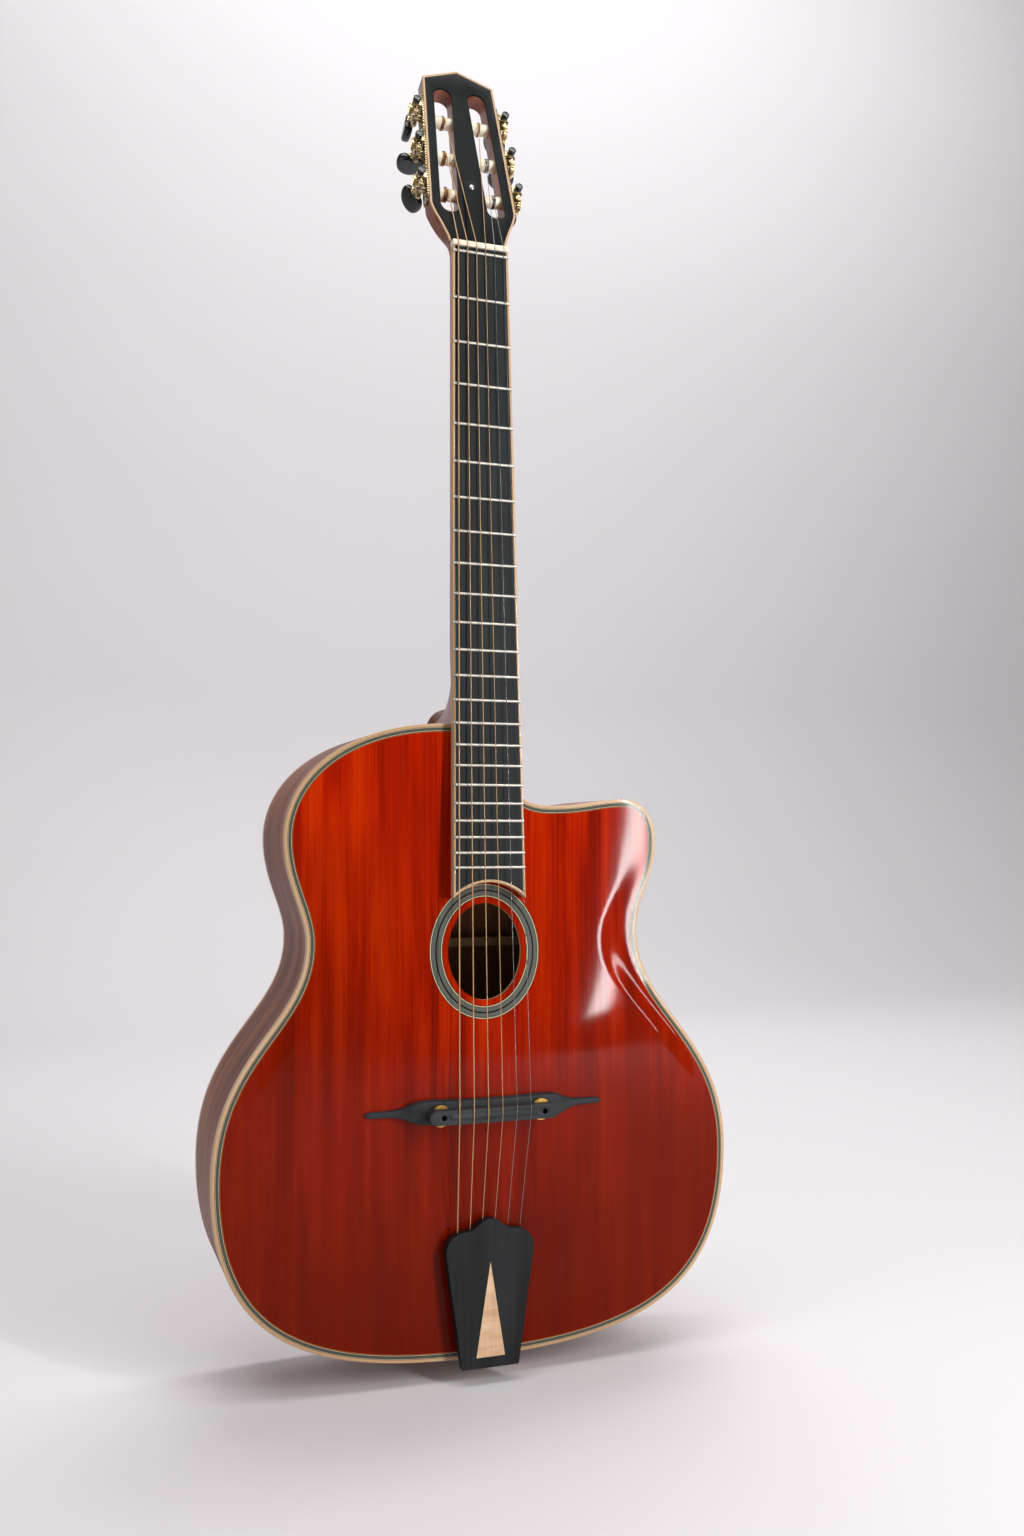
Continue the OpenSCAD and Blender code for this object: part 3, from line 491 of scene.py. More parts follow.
def board_edge(z):
    """Half width of the bound fretboard at a height in the neck's frame."""
    return board_half + board_flare * (neck_len - z)


def head_edge(s):
    """Half width of the headstock at a height in its own frame."""
    return np.interp(s, [0, 10, 16, 27, 36, 43, 47, 178],
                     [23.2, 23.6, 24.6, 28.6, 32.6, 35.2, 36, 30.5])


def smooth_path(points, count):
    """Evenly numbered points on a curve that passes smoothly through the given ones."""
    points = np.array(points, float)
    ends = np.concatenate([[2 * points[0] - points[1]], points, [2 * points[-1] - points[-2]]])
    out = []
    for t in np.linspace(0, len(points) - 1, count):
        i = min(int(t), len(points) - 2)
        u = t - i
        a, b, c, d = ends[i:i + 4]
        out.append(0.5 * (2 * b + (c - a) * u + (2 * a - 5 * b + 4 * c - d) * u * u
                          + (3 * b - a - 3 * c + d) * u ** 3))
    return np.array(out)


def oval(edge, back, half, square):
    """Half a rounded section from edge (y, z) to back (y, z); square 1 is oval, 0 a box."""
    row = []
    for a in np.linspace(0, math.pi, 29):
        c = math.copysign(abs(math.cos(a)) ** square, math.cos(a)) if abs(math.cos(a)) > 1e-9 else 0
        s = math.sin(a) ** square
        row.append((half * c, edge[0] + (back[0] - edge[0]) * s, edge[1] + (back[1] - edge[1]) * s))
    return row


def end_faces(rows, cols, used):
    """The flat ends of a stack of sections, each over the first used points of its section."""
    last = (rows - 1) * cols
    return [tuple(range(used)), tuple(range(last, last + used))]


# Each entry: the edge it starts from, the point on the back, and the half width (y, z, y, z, w).
heel_stations = smooth_path([
    (107, -3, 108, 16.5, 18.8), (96, -3, 97, 17.2, 19), (80, -3, 80, 20, 19.6),
    (62, -3, 62, 25.5, 20.6), (44, -3, 46, 35, 22.3), (28, -3, 33, 48, 24.3),
    (14, -1, 25.5, 64, 25.9), (6, 8, 22.6, 80, 26.6), (6, 40, 22, 96, 26.9),
    (6, 76, 21.8, 112, 26.6), (6, 120, 21.5, 132, 26.1)], 64)
rows = [oval((y0, z0), (y1, z1), half, 0.9) for y0, z0, y1, z1, half in heel_stations]
rows += [oval((board_t, z), (21.5 - (z - 120) * 0.006, z), board_edge(z) - 0.1, 0.9)
         for z in np.linspace(146, 366, 22)]
head_turn = lean(head_lean)
head_start = Vector((0, 3, neck_len))
for s in np.linspace(1, 36, 15):
    t = min(1, max(0, (s - 1) / 30))
    blend_in = t * t * (3 - 2 * t)
    shallow = veneer_t + (1 - blend_in) * 1.4
    deep = 17.2 * (1 - blend_in) + head_t * blend_in
    section = oval((shallow, s), (deep, s), float(head_edge(s)), 0.9 * (1 - blend_in) + 0.06)
    if s < 12:
        slope = (12 - s) / 11 * head_lean * 0.5
        section = [(x, y, s - (y - 6) * math.tan(math.radians(slope))) for x, y, z in section]
    rows.append([tuple(head_turn @ Vector(p) + head_start) for p in section])
cols = len(rows[0])
faces = grid_faces(len(rows), cols)
faces += [(r * cols, (r + 1) * cols, (r + 2) * cols - 1, (r + 1) * cols - 1)
          for r in range(len(rows) - 1)]
faces += end_faces(len(rows), cols, cols)
shaft = build("neck_carved", rows, faces, mahogany, neck_place, sharp=40)
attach(shaft, "guitar")

# The heel's foot is capped with a slip of darker wood, level with the back.
cap_half = 18.7
cap_rows = []
for y, shrink in ((45.5, 0), (rim_y - 0.5, 0), (rim_y, 0.5)):
    cap_rows.append([((cap_half - shrink) * math.cos(a), y, 484.3 + (20.5 - shrink) * math.sin(a) ** 0.9)
                     for a in np.linspace(0, math.pi, 33)])
cap_faces = grid_faces(3, 33) + [(0, 33, 65, 32), (33, 66, 98, 65)] + end_faces(3, 33, 33)
dark_slip = wood("lacquered_rosewood_cap", ("#3a2016", "#54301f", "#6b4029"),
                 (430, 430, 9), (60, 60, 5), 0.4, coat=0.4)
cap = build("heel_cap_slip", cap_rows, cap_faces, dark_slip)
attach(cap, "guitar")
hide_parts("heel_cap")

# ---------------------------------------------------------------- headstock
# The neck's wood, sawn flat, with two long slots for the rollers and a ramp at the end of each.
# A black lacquered veneer and a maple edge strip are glued on the face.
slot_w = 15.4
slot_x = 18.7
taper = 2.404
first_roller = 64


def plank(name, loops, y0, y1, material, place=None, bevel=0.0, rims="both", steps=2):
    """A board cut along closed loops of X and Z, from Y0 to Y1, with its rims eased."""
    work = bmesh.new()
    rim_edges = []
    loop_verts = []
    for loop in loops:
        verts = [work.verts.new((float(x), 0.0, float(z))) for x, z in loop]
        loop_verts.append(verts)
        rim_edges += [work.edges.new((verts[i - 1], verts[i])) for i in range(len(verts))]
    bmesh.ops.triangle_fill(work, edges=rim_edges, use_beauty=True)
    work.verts.index_update()
    flat = [v.co.copy() for v in work.verts]
    triangles = [tuple(v.index for v in f.verts) for f in work.faces]
    ids = [[v.index for v in verts] for verts in loop_verts]
    work.free()
    n = len(flat)
    work = bmesh.new()
    verts = [work.verts.new((p.x, y, p.z)) for y in (y0, y1) for p in flat]
    for shift in (0, n):
        for tri in triangles:
            work.faces.new([verts[i + shift] for i in tri])
    for ring in ids:
        for i in range(len(ring)):
            a, b = ring[i - 1], ring[i]
            work.faces.new((verts[a], verts[b], verts[b + n], verts[a + n]))
    bmesh.ops.recalc_face_normals(work, faces=work.faces)
    if bevel:
        wanted = {"front": (0,), "back": (n,), "both": (0, n)}[rims]
        chosen = [work.edges.get((verts[ring[i - 1] + shift], verts[ring[i] + shift]))
                  for shift in wanted for ring in ids for i in range(len(ring))]
        bmesh.ops.bevel(work, geom=chosen, offset=bevel, segments=steps, profile=0.5,
                        affect="EDGES", clamp_overlap=True)
    work.verts.index_update()
    points = [v.co[:] for v in work.verts]
    faces = [tuple(v.index for v in f.verts) for f in work.faces]
    work.free()
    return build(name, points, faces, material, place)


def slot_loop(side):
    """The outline of one slot: round-ended, tilted with the headstock's side."""
    half = slot_w / 2
    ends = [(half * math.cos(a), 168 - slot_w / 2 - first_roller + half * math.sin(a))
            for a in np.linspace(0, math.pi, 17)]
    ends += [(half * math.cos(a), 40 + slot_w / 2 - first_roller + half * math.sin(a))
             for a in np.linspace(math.pi, 2 * math.pi, 17)]
    tilt = math.radians(side * taper)
    return [(side * slot_x + x * math.cos(tilt) - z * math.sin(tilt),
             first_roller + x * math.sin(tilt) + z * math.cos(tilt)) for x, z in ends]


def head_loop(foot, shrink=0.0):
    """The headstock's outline above a height, its peak a shallow point."""
    levels = [foot] + [s for s in (16, 20, 24, 28, 32, 36, 39, 42, 44, 46, 48) if s > foot + 1]
    right = [(float(head_edge(s)) - shrink, s + (shrink if s == foot else 0)) for s in levels]
    top = [(30.5 - shrink, 178 - shrink * 0.72), (0, 190 - shrink * 1.07),
           (-30.5 + shrink, 178 - shrink * 0.72)]
    return right + top + [(-x, s) for x, s in reversed(right)]


slab = plank("headstock_sawn", [head_loop(36), slot_loop(-1), slot_loop(1)], veneer_t, head_t,
             mahogany, head_place, bevel=1.2, rims="back", steps=3)
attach(slab, "guitar")
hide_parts("neck")
ramp_side = [(36, 1.6), (40, 1.6), (56, head_t - 0.4), (36, head_t - 0.4)]
for side, label in ((-1, "bass"), (1, "treble")):
    tilt = (Matrix.Translation((side * slot_x, 0, first_roller))
            @ Matrix.Rotation(-math.radians(side * taper), 4, "Y"))
    half = slot_w / 2 + 0.3
    points = [(x, y, s - first_roller) for x in (-half, half) for s, y in ramp_side]
    faces = [(0, 1, 2, 3), (4, 5, 6, 7)] + [(i, (i + 1) % 4, (i + 1) % 4 + 4, i + 4) for i in range(4)]
    ramp = build("slot_ramp_" + label, points, faces, mahogany, head_place @ tilt)
    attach(ramp, "guitar")

black_lacquer = wood("black_lacquered_veneer", ("#070b0b", "#0c1111", "#111717"),
                   (430, 430, 9), (60, 60, 5), 0.5, coat=0.0, bump=0.02, shine=0.12)
veneer = plank("headstock_veneer", [head_loop(10, 1.8), slot_loop(-1), slot_loop(1)], 0, veneer_t,
               black_lacquer, head_place, bevel=0.25, rims="front")
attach(veneer, "guitar")
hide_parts("headstock_face")
rim_outer, rim_inner = head_loop(10), head_loop(10, 1.8)
edge = plank("headstock_edge_strip", [rim_outer + rim_inner[::-1]], 0, veneer_t,
             maple_strip, head_place, bevel=0.2, rims="front")
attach(edge, "guitar")
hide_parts("headstock_binding")

# A black cover over the truss rod's nut, held by one screw at its round top.
cover_loop = [(9, 12)] + [(6.5 * math.cos(a), 66 + 6.5 * math.sin(a))
                          for a in np.linspace(0, math.pi, 21)] + [(-9, 12)]
cover = plank("rod_cover", [cover_loop], -2, 0, black_lacquer, head_place, bevel=0.5, rims="front")
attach(cover, "guitar")
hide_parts("truss_rod_cover")

# ---------------------------------------------------------------- fretboard
# A flat ebony board, bound with maple down both sides and round its curved end, on a wedge of
# the stained top wood that carries it over the soundboard.
board_top = neck_len + 4
ring_mid = (hole_z - body_top) / math.cos(math.radians(neck_lean))
trim = 2


def board_loop(shrink):
    """The fretboard's outline, its end following the rosette."""
    wide = float(board_edge(-120)) - shrink
    narrow = 22.95 - shrink
    end_rx, end_rz = 46 + shrink, 53.5 + shrink
    foot = [(x, ring_mid + end_rz * math.sqrt(1 - (x / end_rx) ** 2))
            for x in np.linspace(wide, -wide, 41)]
    return [(-narrow, board_top), (narrow, board_top)] + foot


ebony_board = wood("oiled_ebony_board", ("#101314", "#181c1d", "#232829"),
                   (650, 650, 16), (90, 90, 6), 0.5, coat=0.0, bump=0.12, shine=0.15)
board = plank("fretboard_ebony", [board_loop(trim)], 0, board_t, ebony_board, neck_place)
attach(board, "guitar")
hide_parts("fretboard")
board_outer, board_inner = board_loop(0), board_loop(trim)
hem = plank("fretboard_binding_strip",
            [board_outer[:1] + board_inner[:1] + board_inner[:1:-1] + board_inner[1:2]
             + board_outer[1:]], 0, board_t, maple_strip, neck_place, bevel=0.35, rims="front")
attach(hem, "guitar")
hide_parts("fretboard_binding")
wedge = plank("fretboard_wedge", [[(x, min(z, -0.05)) for x, z in board_loop(0.05)]], board_t, 13.5,
              red_spruce, neck_place)
cut = bmesh.new()
cut.from_mesh(wedge.data)
for vertex in cut.verts:
    if vertex.co.y > y_front * 0.001 - 0.0003:
        vertex.co.y = (y_front - float(arch(vertex.co.x * 1000, vertex.co.z * 1000, 100)) + 0.4) * 0.001
bmesh.ops.recalc_face_normals(cut, faces=cut.faces)
cut.to_mesh(wedge.data)
cut.free()
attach(wedge, "guitar")
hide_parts("fretboard_riser")

# ---------------------------------------------------------------- frets
# Nickel-silver wire with a rounded crown, hammered into saw cuts, cut flush with the binding and
# dressed at the ends: a zero fret beside the nut and 22 more, at steps of the twelfth root of 2.


def worn_finish(name, settings, noise, tones=None, rough=None, stretch=None):
    """A finish whose colour and roughness drift with a cloudy noise.

    stretch is the noise's repeats per metre on each axis, where they differ."""
    material, tree, shader = new_finish(name, settings)
    place = add(tree, "ShaderNodeTexCoord").outputs["Object"]
    if stretch:
        place = add(tree, "ShaderNodeMapping", {"Scale": stretch}, {"Vector": place})
    cloud = add(tree, "ShaderNodeTexNoise", noise, {"Vector": place})
    if tones:
        tint = add(tree, "ShaderNodeValToRGB", {"stops": tones}, {"Fac": cloud})
        tree.links.new(tint.outputs[0], shader.inputs["Base Color"])
    if rough:
        dull = add(tree, "ShaderNodeMapRange", {3: rough[0], 4: rough[1]}, {0: cloud})
        tree.links.new(dull.outputs[0], shader.inputs["Roughness"])
    return material


nickel = worn_finish("polished_nickel_silver", {"Metallic": 1.0, "Base Color": srgb("#aaa69c")},
                     {"Scale": 1.0, "Detail": 3.0}, rough=(0.26, 0.46), stretch=(300, 900, 2400))


def grown(name, tree, inputs, material, body, place=None, sharp=30, seeds=()):
    """The plain mesh that a Geometry Nodes tree makes, in millimetres, moved by a matrix.

    seeds are the points, each with its axis, that the tree sets its copies on."""
    start = bpy.data.meshes.new(name)
    start.from_pydata([point for point, axis in seeds], [], [])
    start.attributes.new("axis", "FLOAT_VECTOR", "POINT")
    for item, (point, axis) in zip(start.attributes["axis"].data, seeds):
        item.vector = axis
    host = bpy.data.objects.new(name, start)
    bpy.context.scene.collection.objects.link(host)
    modifier = host.modifiers.new("grow", "NODES")
    modifier.node_group = tree
    for item in tree.interface.items_tree:
        if item.item_type == "SOCKET" and item.in_out == "INPUT" and item.name in inputs:
            modifier[item.identifier] = inputs[item.name]
        elif item.item_type == "SOCKET" and item.in_out == "INPUT" and item.name == "Material":
            modifier[item.identifier] = material
    depsgraph = bpy.context.evaluated_depsgraph_get()
    made = bpy.data.meshes.new_from_object(host.evaluated_get(depsgraph), depsgraph=depsgraph)
    host.modifiers.remove(modifier)
    bpy.data.objects.remove(host)
    points = [v.co[:] for v in made.vertices]
    faces = [tuple(p.vertices) for p in made.polygons]
    bpy.data.meshes.remove(made)
    obj = build(name, points, faces, material, place, sharp=sharp)
    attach(obj, body)
    return obj


def new_tree(name, sockets):
    """A Geometry Nodes tree with named inputs, given as (name, kind, default)."""
    tree = bpy.data.node_groups.new(name, "GeometryNodeTree")
    for label, kind, default in sockets + [("Material", "NodeSocketMaterial", None)]:
        socket = tree.interface.new_socket(label, in_out="INPUT", socket_type=kind)
        if default is not None:
            socket.default_value = default
    tree.interface.new_socket("Mesh", in_out="OUTPUT", socket_type="NodeSocketGeometry")
    return tree, add(tree, "NodeGroupInput").outputs


def end_tree(tree, geometry, material):
    """Closes a tree: real geometry with its material."""
    real = add(tree, "GeometryNodeRealizeInstances", {}, {"Geometry": geometry})
    dressed = add(tree, "GeometryNodeSetMaterial", {}, {"Geometry": real, "Material": material})
    add(tree, "NodeGroupOutput", {}, {"Mesh": dressed})


tree, given = new_tree("fret_wires", [
    ("Frets", "NodeSocketInt", 23), ("Scale", "NodeSocketFloat", scale_len),
    ("Nut Half Width", "NodeSocketFloat", board_half), ("Widening", "NodeSocketFloat", board_flare),
    ("Wire Width", "NodeSocketFloat", 2.4), ("Wire Height", "NodeSocketFloat", 1.1)])
number = add(tree, "GeometryNodeInputIndex")
step = add(tree, "ShaderNodeMath", {"operation": "DIVIDE", 1: -12.0}, {0: number})
share = add(tree, "ShaderNodeMath", {"operation": "POWER", 0: 2.0}, {1: step})
left = add(tree, "ShaderNodeMath", {"operation": "MULTIPLY"}, {0: share, 1: given["Scale"]})
gone = add(tree, "ShaderNodeMath", {"operation": "SUBTRACT"}, {0: given["Scale"], 1: left})
height = add(tree, "ShaderNodeMath", {"operation": "SUBTRACT", 0: neck_len}, {1: gone})
half = add(tree, "ShaderNodeMath", {"operation": "MULTIPLY_ADD"},
           {0: gone, 1: given["Widening"], 2: given["Nut Half Width"]})
spot_at = add(tree, "ShaderNodeCombineXYZ", {}, {2: height})
spots = add(tree, "GeometryNodePoints", {}, {"Count": given["Frets"], "Position": spot_at})
wire = add(tree, "GeometryNodeCurvePrimitiveLine", {"Start": (-0.99, 0, 0), "End": (0.99, 0, 0)})
wire = add(tree, "GeometryNodeResampleCurve", {"Count": 9}, {"Curve": wire})
crown = add(tree, "GeometryNodeCurvePrimitiveCircle", {"Resolution": 20, "Radius": 1.0})
bar = add(tree, "GeometryNodeCurveToMesh", {"Fill Caps": True}, {"Curve": wire, "Profile Curve": crown})
thick = add(tree, "ShaderNodeMath", {"operation": "MULTIPLY", 1: 0.5}, {0: given["Wire Width"]})
size = add(tree, "ShaderNodeCombineXYZ", {}, {0: half, 1: given["Wire Height"], 2: thick})
wires = add(tree, "GeometryNodeInstanceOnPoints", {},
            {"Points": spots, "Instance": bar, "Scale": size})
end_tree(tree, wires, given["Material"])
frets = grown("frets_nickel", tree, {"Frets": 23}, nickel, "guitar", neck_place, sharp=50)
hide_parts("frets")

# ---------------------------------------------------------------- nut
# A sawn and polished bone bar, its top rounded, with six filed notches that only space the
# strings: they are stopped by the zero fret.
string_gap = 7.5
string_radii = (0.55, 0.47, 0.39, 0.31, 0.25, 0.21)


def notched_bar(name, section, half, notches, depth, material, place=None):
    """A bar along X with a rounded section of (y, z); its top dips by depth at each notch."""
    xs = {-half, half, -half + 0.6, half - 0.6}
    for x, r in notches:
        xs |= {x + r * u for u in (-2.2, -1.25, -0.8, 0, 0.8, 1.25, 2.2)}
    top = min(y for y, z in section)
    deep = max(y for y, z in section)
    mid_z = sum(z for y, z in section) / len(section)
    rows = []
    for x in sorted(xs):
        near = min((abs(x - nx) / r for nx, r in notches), default=9)
        dip = depth * min(1, max(0, (1.3 - near) / 0.5))
        draw = 1 - 0.12 * (half - abs(x) < 1e-6)
        rows.append([(x, y + dip * max(0, 1 - (y - top) / (0.35 * (deep - top))),
                      mid_z + (z - mid_z) * draw) for y, z in section + section[:1]])
    cols = len(section) + 1
    faces = grid_faces(len(rows), cols) + end_faces(len(rows), cols, cols - 1)
    return build(name, rows, faces, material, place, sharp=35)


bone = worn_finish("polished_bone", {"Roughness": 0.32, "Subsurface Weight": 0.15,
                                     "Subsurface Radius": (0.002, 0.0014, 0.001),
                                     "Subsurface Scale": 0.5, "Coat Weight": 0.3},
                   {"Scale": 1.0, "Detail": 3.0}, [(0.3, "#d9cdae"), (0.7, "#efe7d2")],
                   stretch=(160, 900, 900))
nut_side = [(6, board_top + 0.1), (0, board_top + 0.1), (-1.2, board_top + 0.4)]
nut_side += [(-1.75, board_top + 1.3), (-1.8, board_top + 2.6), (-1.5, board_top + 3.9),
             (-0.8, board_top + 4.7), (1, board_top + 5), (6, board_top + 5)]
notches = [((i - 2.5) * string_gap, string_radii[i]) for i in range(6)]
nut = notched_bar("nut_bone", nut_side, 22.9, notches, 0.55, bone, neck_place)
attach(nut, "guitar")
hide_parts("nut")

# ---------------------------------------------------------------- tuner plates
# Gold-plated brass side plates, engraved with a running scroll, with a pair of bearing ears
# bent out for each worm. Four small screws hold each to the headstock's side.
tuner_step = 37.5
roller_y = 7.5
side_x = 36 - (first_roller - 47) * math.tan(math.radians(taper))
gear_step = 10.3
worm_x = 6.5


def side_place(mirrored):
    """The frame on the headstock's side: +X inwards, the first roller at the height 0."""
    flip = Matrix.Scale(-1, 4, (1, 0, 0)) if mirrored else Matrix()
    return (head_place @ flip @ Matrix.Translation((-side_x, 0, first_roller))
            @ Matrix.Rotation(math.radians(taper), 4, "Y"))


def tuner_place(k):
    """The frame of a tuner's roller; 1 to 3 are bass, 4 to 6 treble, from the lowest up."""
    return side_place(k > 3) @ Matrix.Translation((0, roller_y, ((k - 1) % 3) * tuner_step))


def gold_finish(name, engraved):
    """Gold plating over brass, a little dulled by handling; engraved plates carry scrolls."""
    material, tree, shader = new_finish(name, {"Metallic": 1.0, "Roughness": 0.25})
    place = add(tree, "ShaderNodeTexCoord").outputs["Object"]
    cloud = add(tree, "ShaderNodeTexNoise", {"Scale": 90.0, "Detail": 4.0}, {"Vector": place})
    tint = add(tree, "ShaderNodeValToRGB", {"stops": [(0.35, "#968462"), (0.65, "#c9ba98")]},
               {"Fac": cloud})
    dull = add(tree, "ShaderNodeMapRange", {3: 0.16, 4: 0.38}, {0: cloud})
    tree.links.new(dull.outputs[0], shader.inputs["Roughness"])
    colour = tint.outputs[0]
    if engraved:
        scroll_at = add(tree, "ShaderNodeMapping", {"Scale": (260, 260, 260)}, {"Vector": place})
        scroll = add(tree, "ShaderNodeTexWave", {"wave_type": "RINGS", "Scale": 0.5, "Distortion": 9.0,
                                                 "Detail": 1.0, "Detail Scale": 0.6}, {"Vector": scroll_at})
        line = add(tree, "ShaderNodeMapRange", {1: 0.25, 2: 0.5}, {0: scroll})
        cut = add(tree, "ShaderNodeBump", {"Strength": 0.9, "Distance": 0.0003}, {"Height": line})
        tree.links.new(cut.outputs[0], shader.inputs["Normal"])
        grime = add(tree, "ShaderNodeMix", {"data_type": "RGBA", "blend_type": "MIX", 6: srgb("#4d4024")},
                    {0: line, 7: tint})
        colour = grime.outputs[2]
    tree.links.new(colour, shader.inputs["Base Color"])
    return material


engraved_gold = gold_finish("engraved_gold_plate", True)
plain_gold = gold_finish("polished_gold_plate", False)


def ring_loop(cx, cz, r):
    """A round hole's outline."""
    return [(cx + r * math.cos(a), cz + r * math.sin(a))
            for a in np.linspace(0, 2 * math.pi, 20, endpoint=False)]


# The plate's outline in depth and height has round ends and a waist between the tuners.
plate_foot = -14
plate_top = 2 * tuner_step + 24
right = []
for z in np.linspace(plate_foot, plate_top, 91):
    wave = 0.5 - 0.5 * math.cos(2 * math.pi * (z - gear_step / 2) / tuner_step)
    end_gap = min(z - plate_foot, plate_top - z)
    round_off = math.sqrt(max(0, 1 - max(0, 1 - end_gap / 4.5) ** 2))
    right.append((6.9 - 1.1 * wave ** 2 - 3.6 * (1 - round_off), z))
plate_loop = right + [(-x, z) for x, z in reversed(right)]

# The plate is cut in depth and height, then turned so that its face looks out sideways.
side_turn = Matrix.Rotation(math.radians(90), 4, "Z")
holes = [ring_loop(0, k * tuner_step, 2.05) for k in range(3)]
for mirrored, label in ((False, "bass"), (True, "treble")):
    place = side_place(mirrored)
    at_plate = place @ Matrix.Translation((0, roller_y, 0)) @ side_turn
    strip = plank("tuner_plate_" + label + "_engraved", [plate_loop] + holes, 0, 1.5,
                  engraved_gold, at_plate, bevel=0.35, rims="back")
    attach(strip, "guitar")
    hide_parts("tuner_plate_" + label)
    ear_loop = [(1.2, -3)] + [(-worm_x + 3 * math.cos(a), 3 * math.sin(a))
                              for a in np.linspace(-math.pi / 2, -1.5 * math.pi, 15)] + [(1.2, 3)]
    for k in range(3):
        for y in (0.8, 12.2):
            at_ear = place @ Matrix.Translation((-1.3, y, k * tuner_step + gear_step))
            ear_points = [(x + 1.3 if x < 0 else x, z) for x, z in ear_loop]
            ear = plank("ear_%s_%d_%s" % (label, k + 1, "front" if y < 5 else "back"),
                        [ear_points, ring_loop(-worm_x + 1.3, 0, 1.55)], 0, 2,
                        plain_gold, at_ear, bevel=0.3)
            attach(ear, "guitar")

# ---------------------------------------------------------------- worms, buttons and caps
# Each tuner's plated steel worm runs in its two ears. A moulded black knob is pressed on the back
# end of the shaft and a small round cap on the front end.
plated_steel = worn_finish("gold_plated_steel_shaft", {"Metallic": 1.0, "Base Color": srgb("#cdb78c")},
                           {"Scale": 400.0, "Detail": 3.0}, rough=(0.15, 0.35))
black_resin = worn_finish("moulded_black_resin",
                          {"Roughness": 0.22, "Coat Weight": 0.4, "Coat Roughness": 0.1},
                          {"Scale": 120.0, "Detail": 5.0, "Distortion": 1.5},
                          [(0.3, "#050506"), (0.75, "#17171a")])


def turned(name, profile, material, place, body, count=28):
    """A lathe piece round the local Z axis, from (radius, height) pairs that start and end at 0."""
    around = np.linspace(0, 2 * math.pi, count + 1)
    rows = [[(r * math.cos(a), r * math.sin(a), h) for a in around] for r, h in profile]
    faces = grid_faces(len(rows), count + 1)
    obj = build(name, rows, faces, material, place, sharp=35)
    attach(obj, body)
    return obj


worm_lead = math.pi * 0.9
worm_half = 4.2
button_y = 20
button_turn = (-35, 90, 8, 20, 80, 35)
along_y = Matrix.Rotation(-math.pi / 2, 4, "X")
knob_curves = [[(0, 2.5), (5, -1.5), (11, 0.5), (11, 7.5)], [(11, 7.5), (11, 15), (6, 19), (0, 19)],
               [(0, 19), (-6, 19), (-11, 15), (-11, 7.5)],
               [(-11, 7.5), (-11, 0.5), (-5, -1.5), (0, 2.5)]]
knob_flat = np.concatenate([curve_points(k, 12) for k in knob_curves])
knob_mid = np.array([0, 10.0])
shaft_side = [(0, -2.6), (1.5, -2.6), (1.5, 17), (2.6, 17.2), (2.9, 17.8), (2.6, 18.4), (2.1, 18.7),
              (2.1, 19.3), (2.7, 19.7), (2.7, 20.6), (1.5, 21), (1.5, 32), (0, 32)]
cap_side = [(0, -3.6)] + [(2.3 + 0.8 * math.sin(a), -2.8 - 0.8 * math.cos(a))
                          for a in np.linspace(0, math.pi / 2, 6)]
cap_side += [(3.1, -0.6), (2.7, -0.2), (0, -0.2)]
for k in range(1, 7):
    body = "worm_shaft_%d" % k
    at_worm = tuner_place(k) @ Matrix.Translation((-worm_x, 0, gear_step))
    keep_hand = Matrix.Scale(-1 if k > 3 else 1, 4, (1, 0, 0))
    around = np.linspace(0, 2 * math.pi, 33)
    levels = np.linspace(-worm_half, worm_half, 85)
    rows = [[(0, -worm_half, 0)] * len(around)]
    for y in levels:
        turn = y / worm_lead - around / (2 * math.pi)
        gap = np.abs(turn - np.round(turn)) * worm_lead
        fade = min(1, (worm_half - abs(y)) / 0.9)
        r = 2.95 + 1.8 * (1 - np.clip((gap - 0.2) / 0.65, 0, 1)) * fade
        rows.append([(ri * math.sin(a), y, ri * math.cos(a)) for ri, a in zip(r, around)])
    rows.append([(0, worm_half, 0)] * len(around))
    thread = build("worm_thread_%d" % k, rows, grid_faces(len(rows), len(around)), plated_steel,
                   at_worm @ keep_hand @ Matrix.Rotation(math.pi, 4, "Y"), sharp=30)
    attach(thread, body)
    at_front = at_worm @ Matrix.Translation((0, -roller_y, 0))
    at_shaft = at_front @ along_y
    shaft = turned("worm_shaft_turned_%d" % k, shaft_side, plated_steel, at_shaft, body)
    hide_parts("worm_%d" % k)
    cap = turned("worm_cap_%d" % k, cap_side, black_resin, at_shaft, body)
    rows = []
    for a in np.linspace(-math.pi / 2, math.pi / 2, 15):
        draw = 1 - 0.3 * (1 - math.cos(a)) ** 1.4
        flat = knob_mid + (knob_flat - knob_mid) * draw
        flat = np.concatenate([flat, flat[:1]])
        rows.append([(3.5 * math.sin(a), y + button_y, x) for x, y in flat])
    middle = [[(rows[0][0][0], button_y + 10, 0)] * len(flat)]
    rows = middle + rows + [[(rows[-1][0][0], button_y + 10, 0)] * len(flat)]
    knob = build("button_moulded_%d" % k, rows, grid_faces(len(rows), len(flat)), black_resin,
                 at_front @ Matrix.Rotation(math.radians(button_turn[k - 1]), 4, "Y"), sharp=60)
    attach(knob, body)
    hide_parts("button_%d" % k)

# ---------------------------------------------------------------- gears, rollers and wraps
# A plated brass gear is fixed on each roller's end. The roller is a cream sleeve that runs across
# the slot; its string winds on in close turns.
string_bronze, tree, shader = new_finish("bronze_wound_string", {"Metallic": 1.0, "Roughness": 0.38})
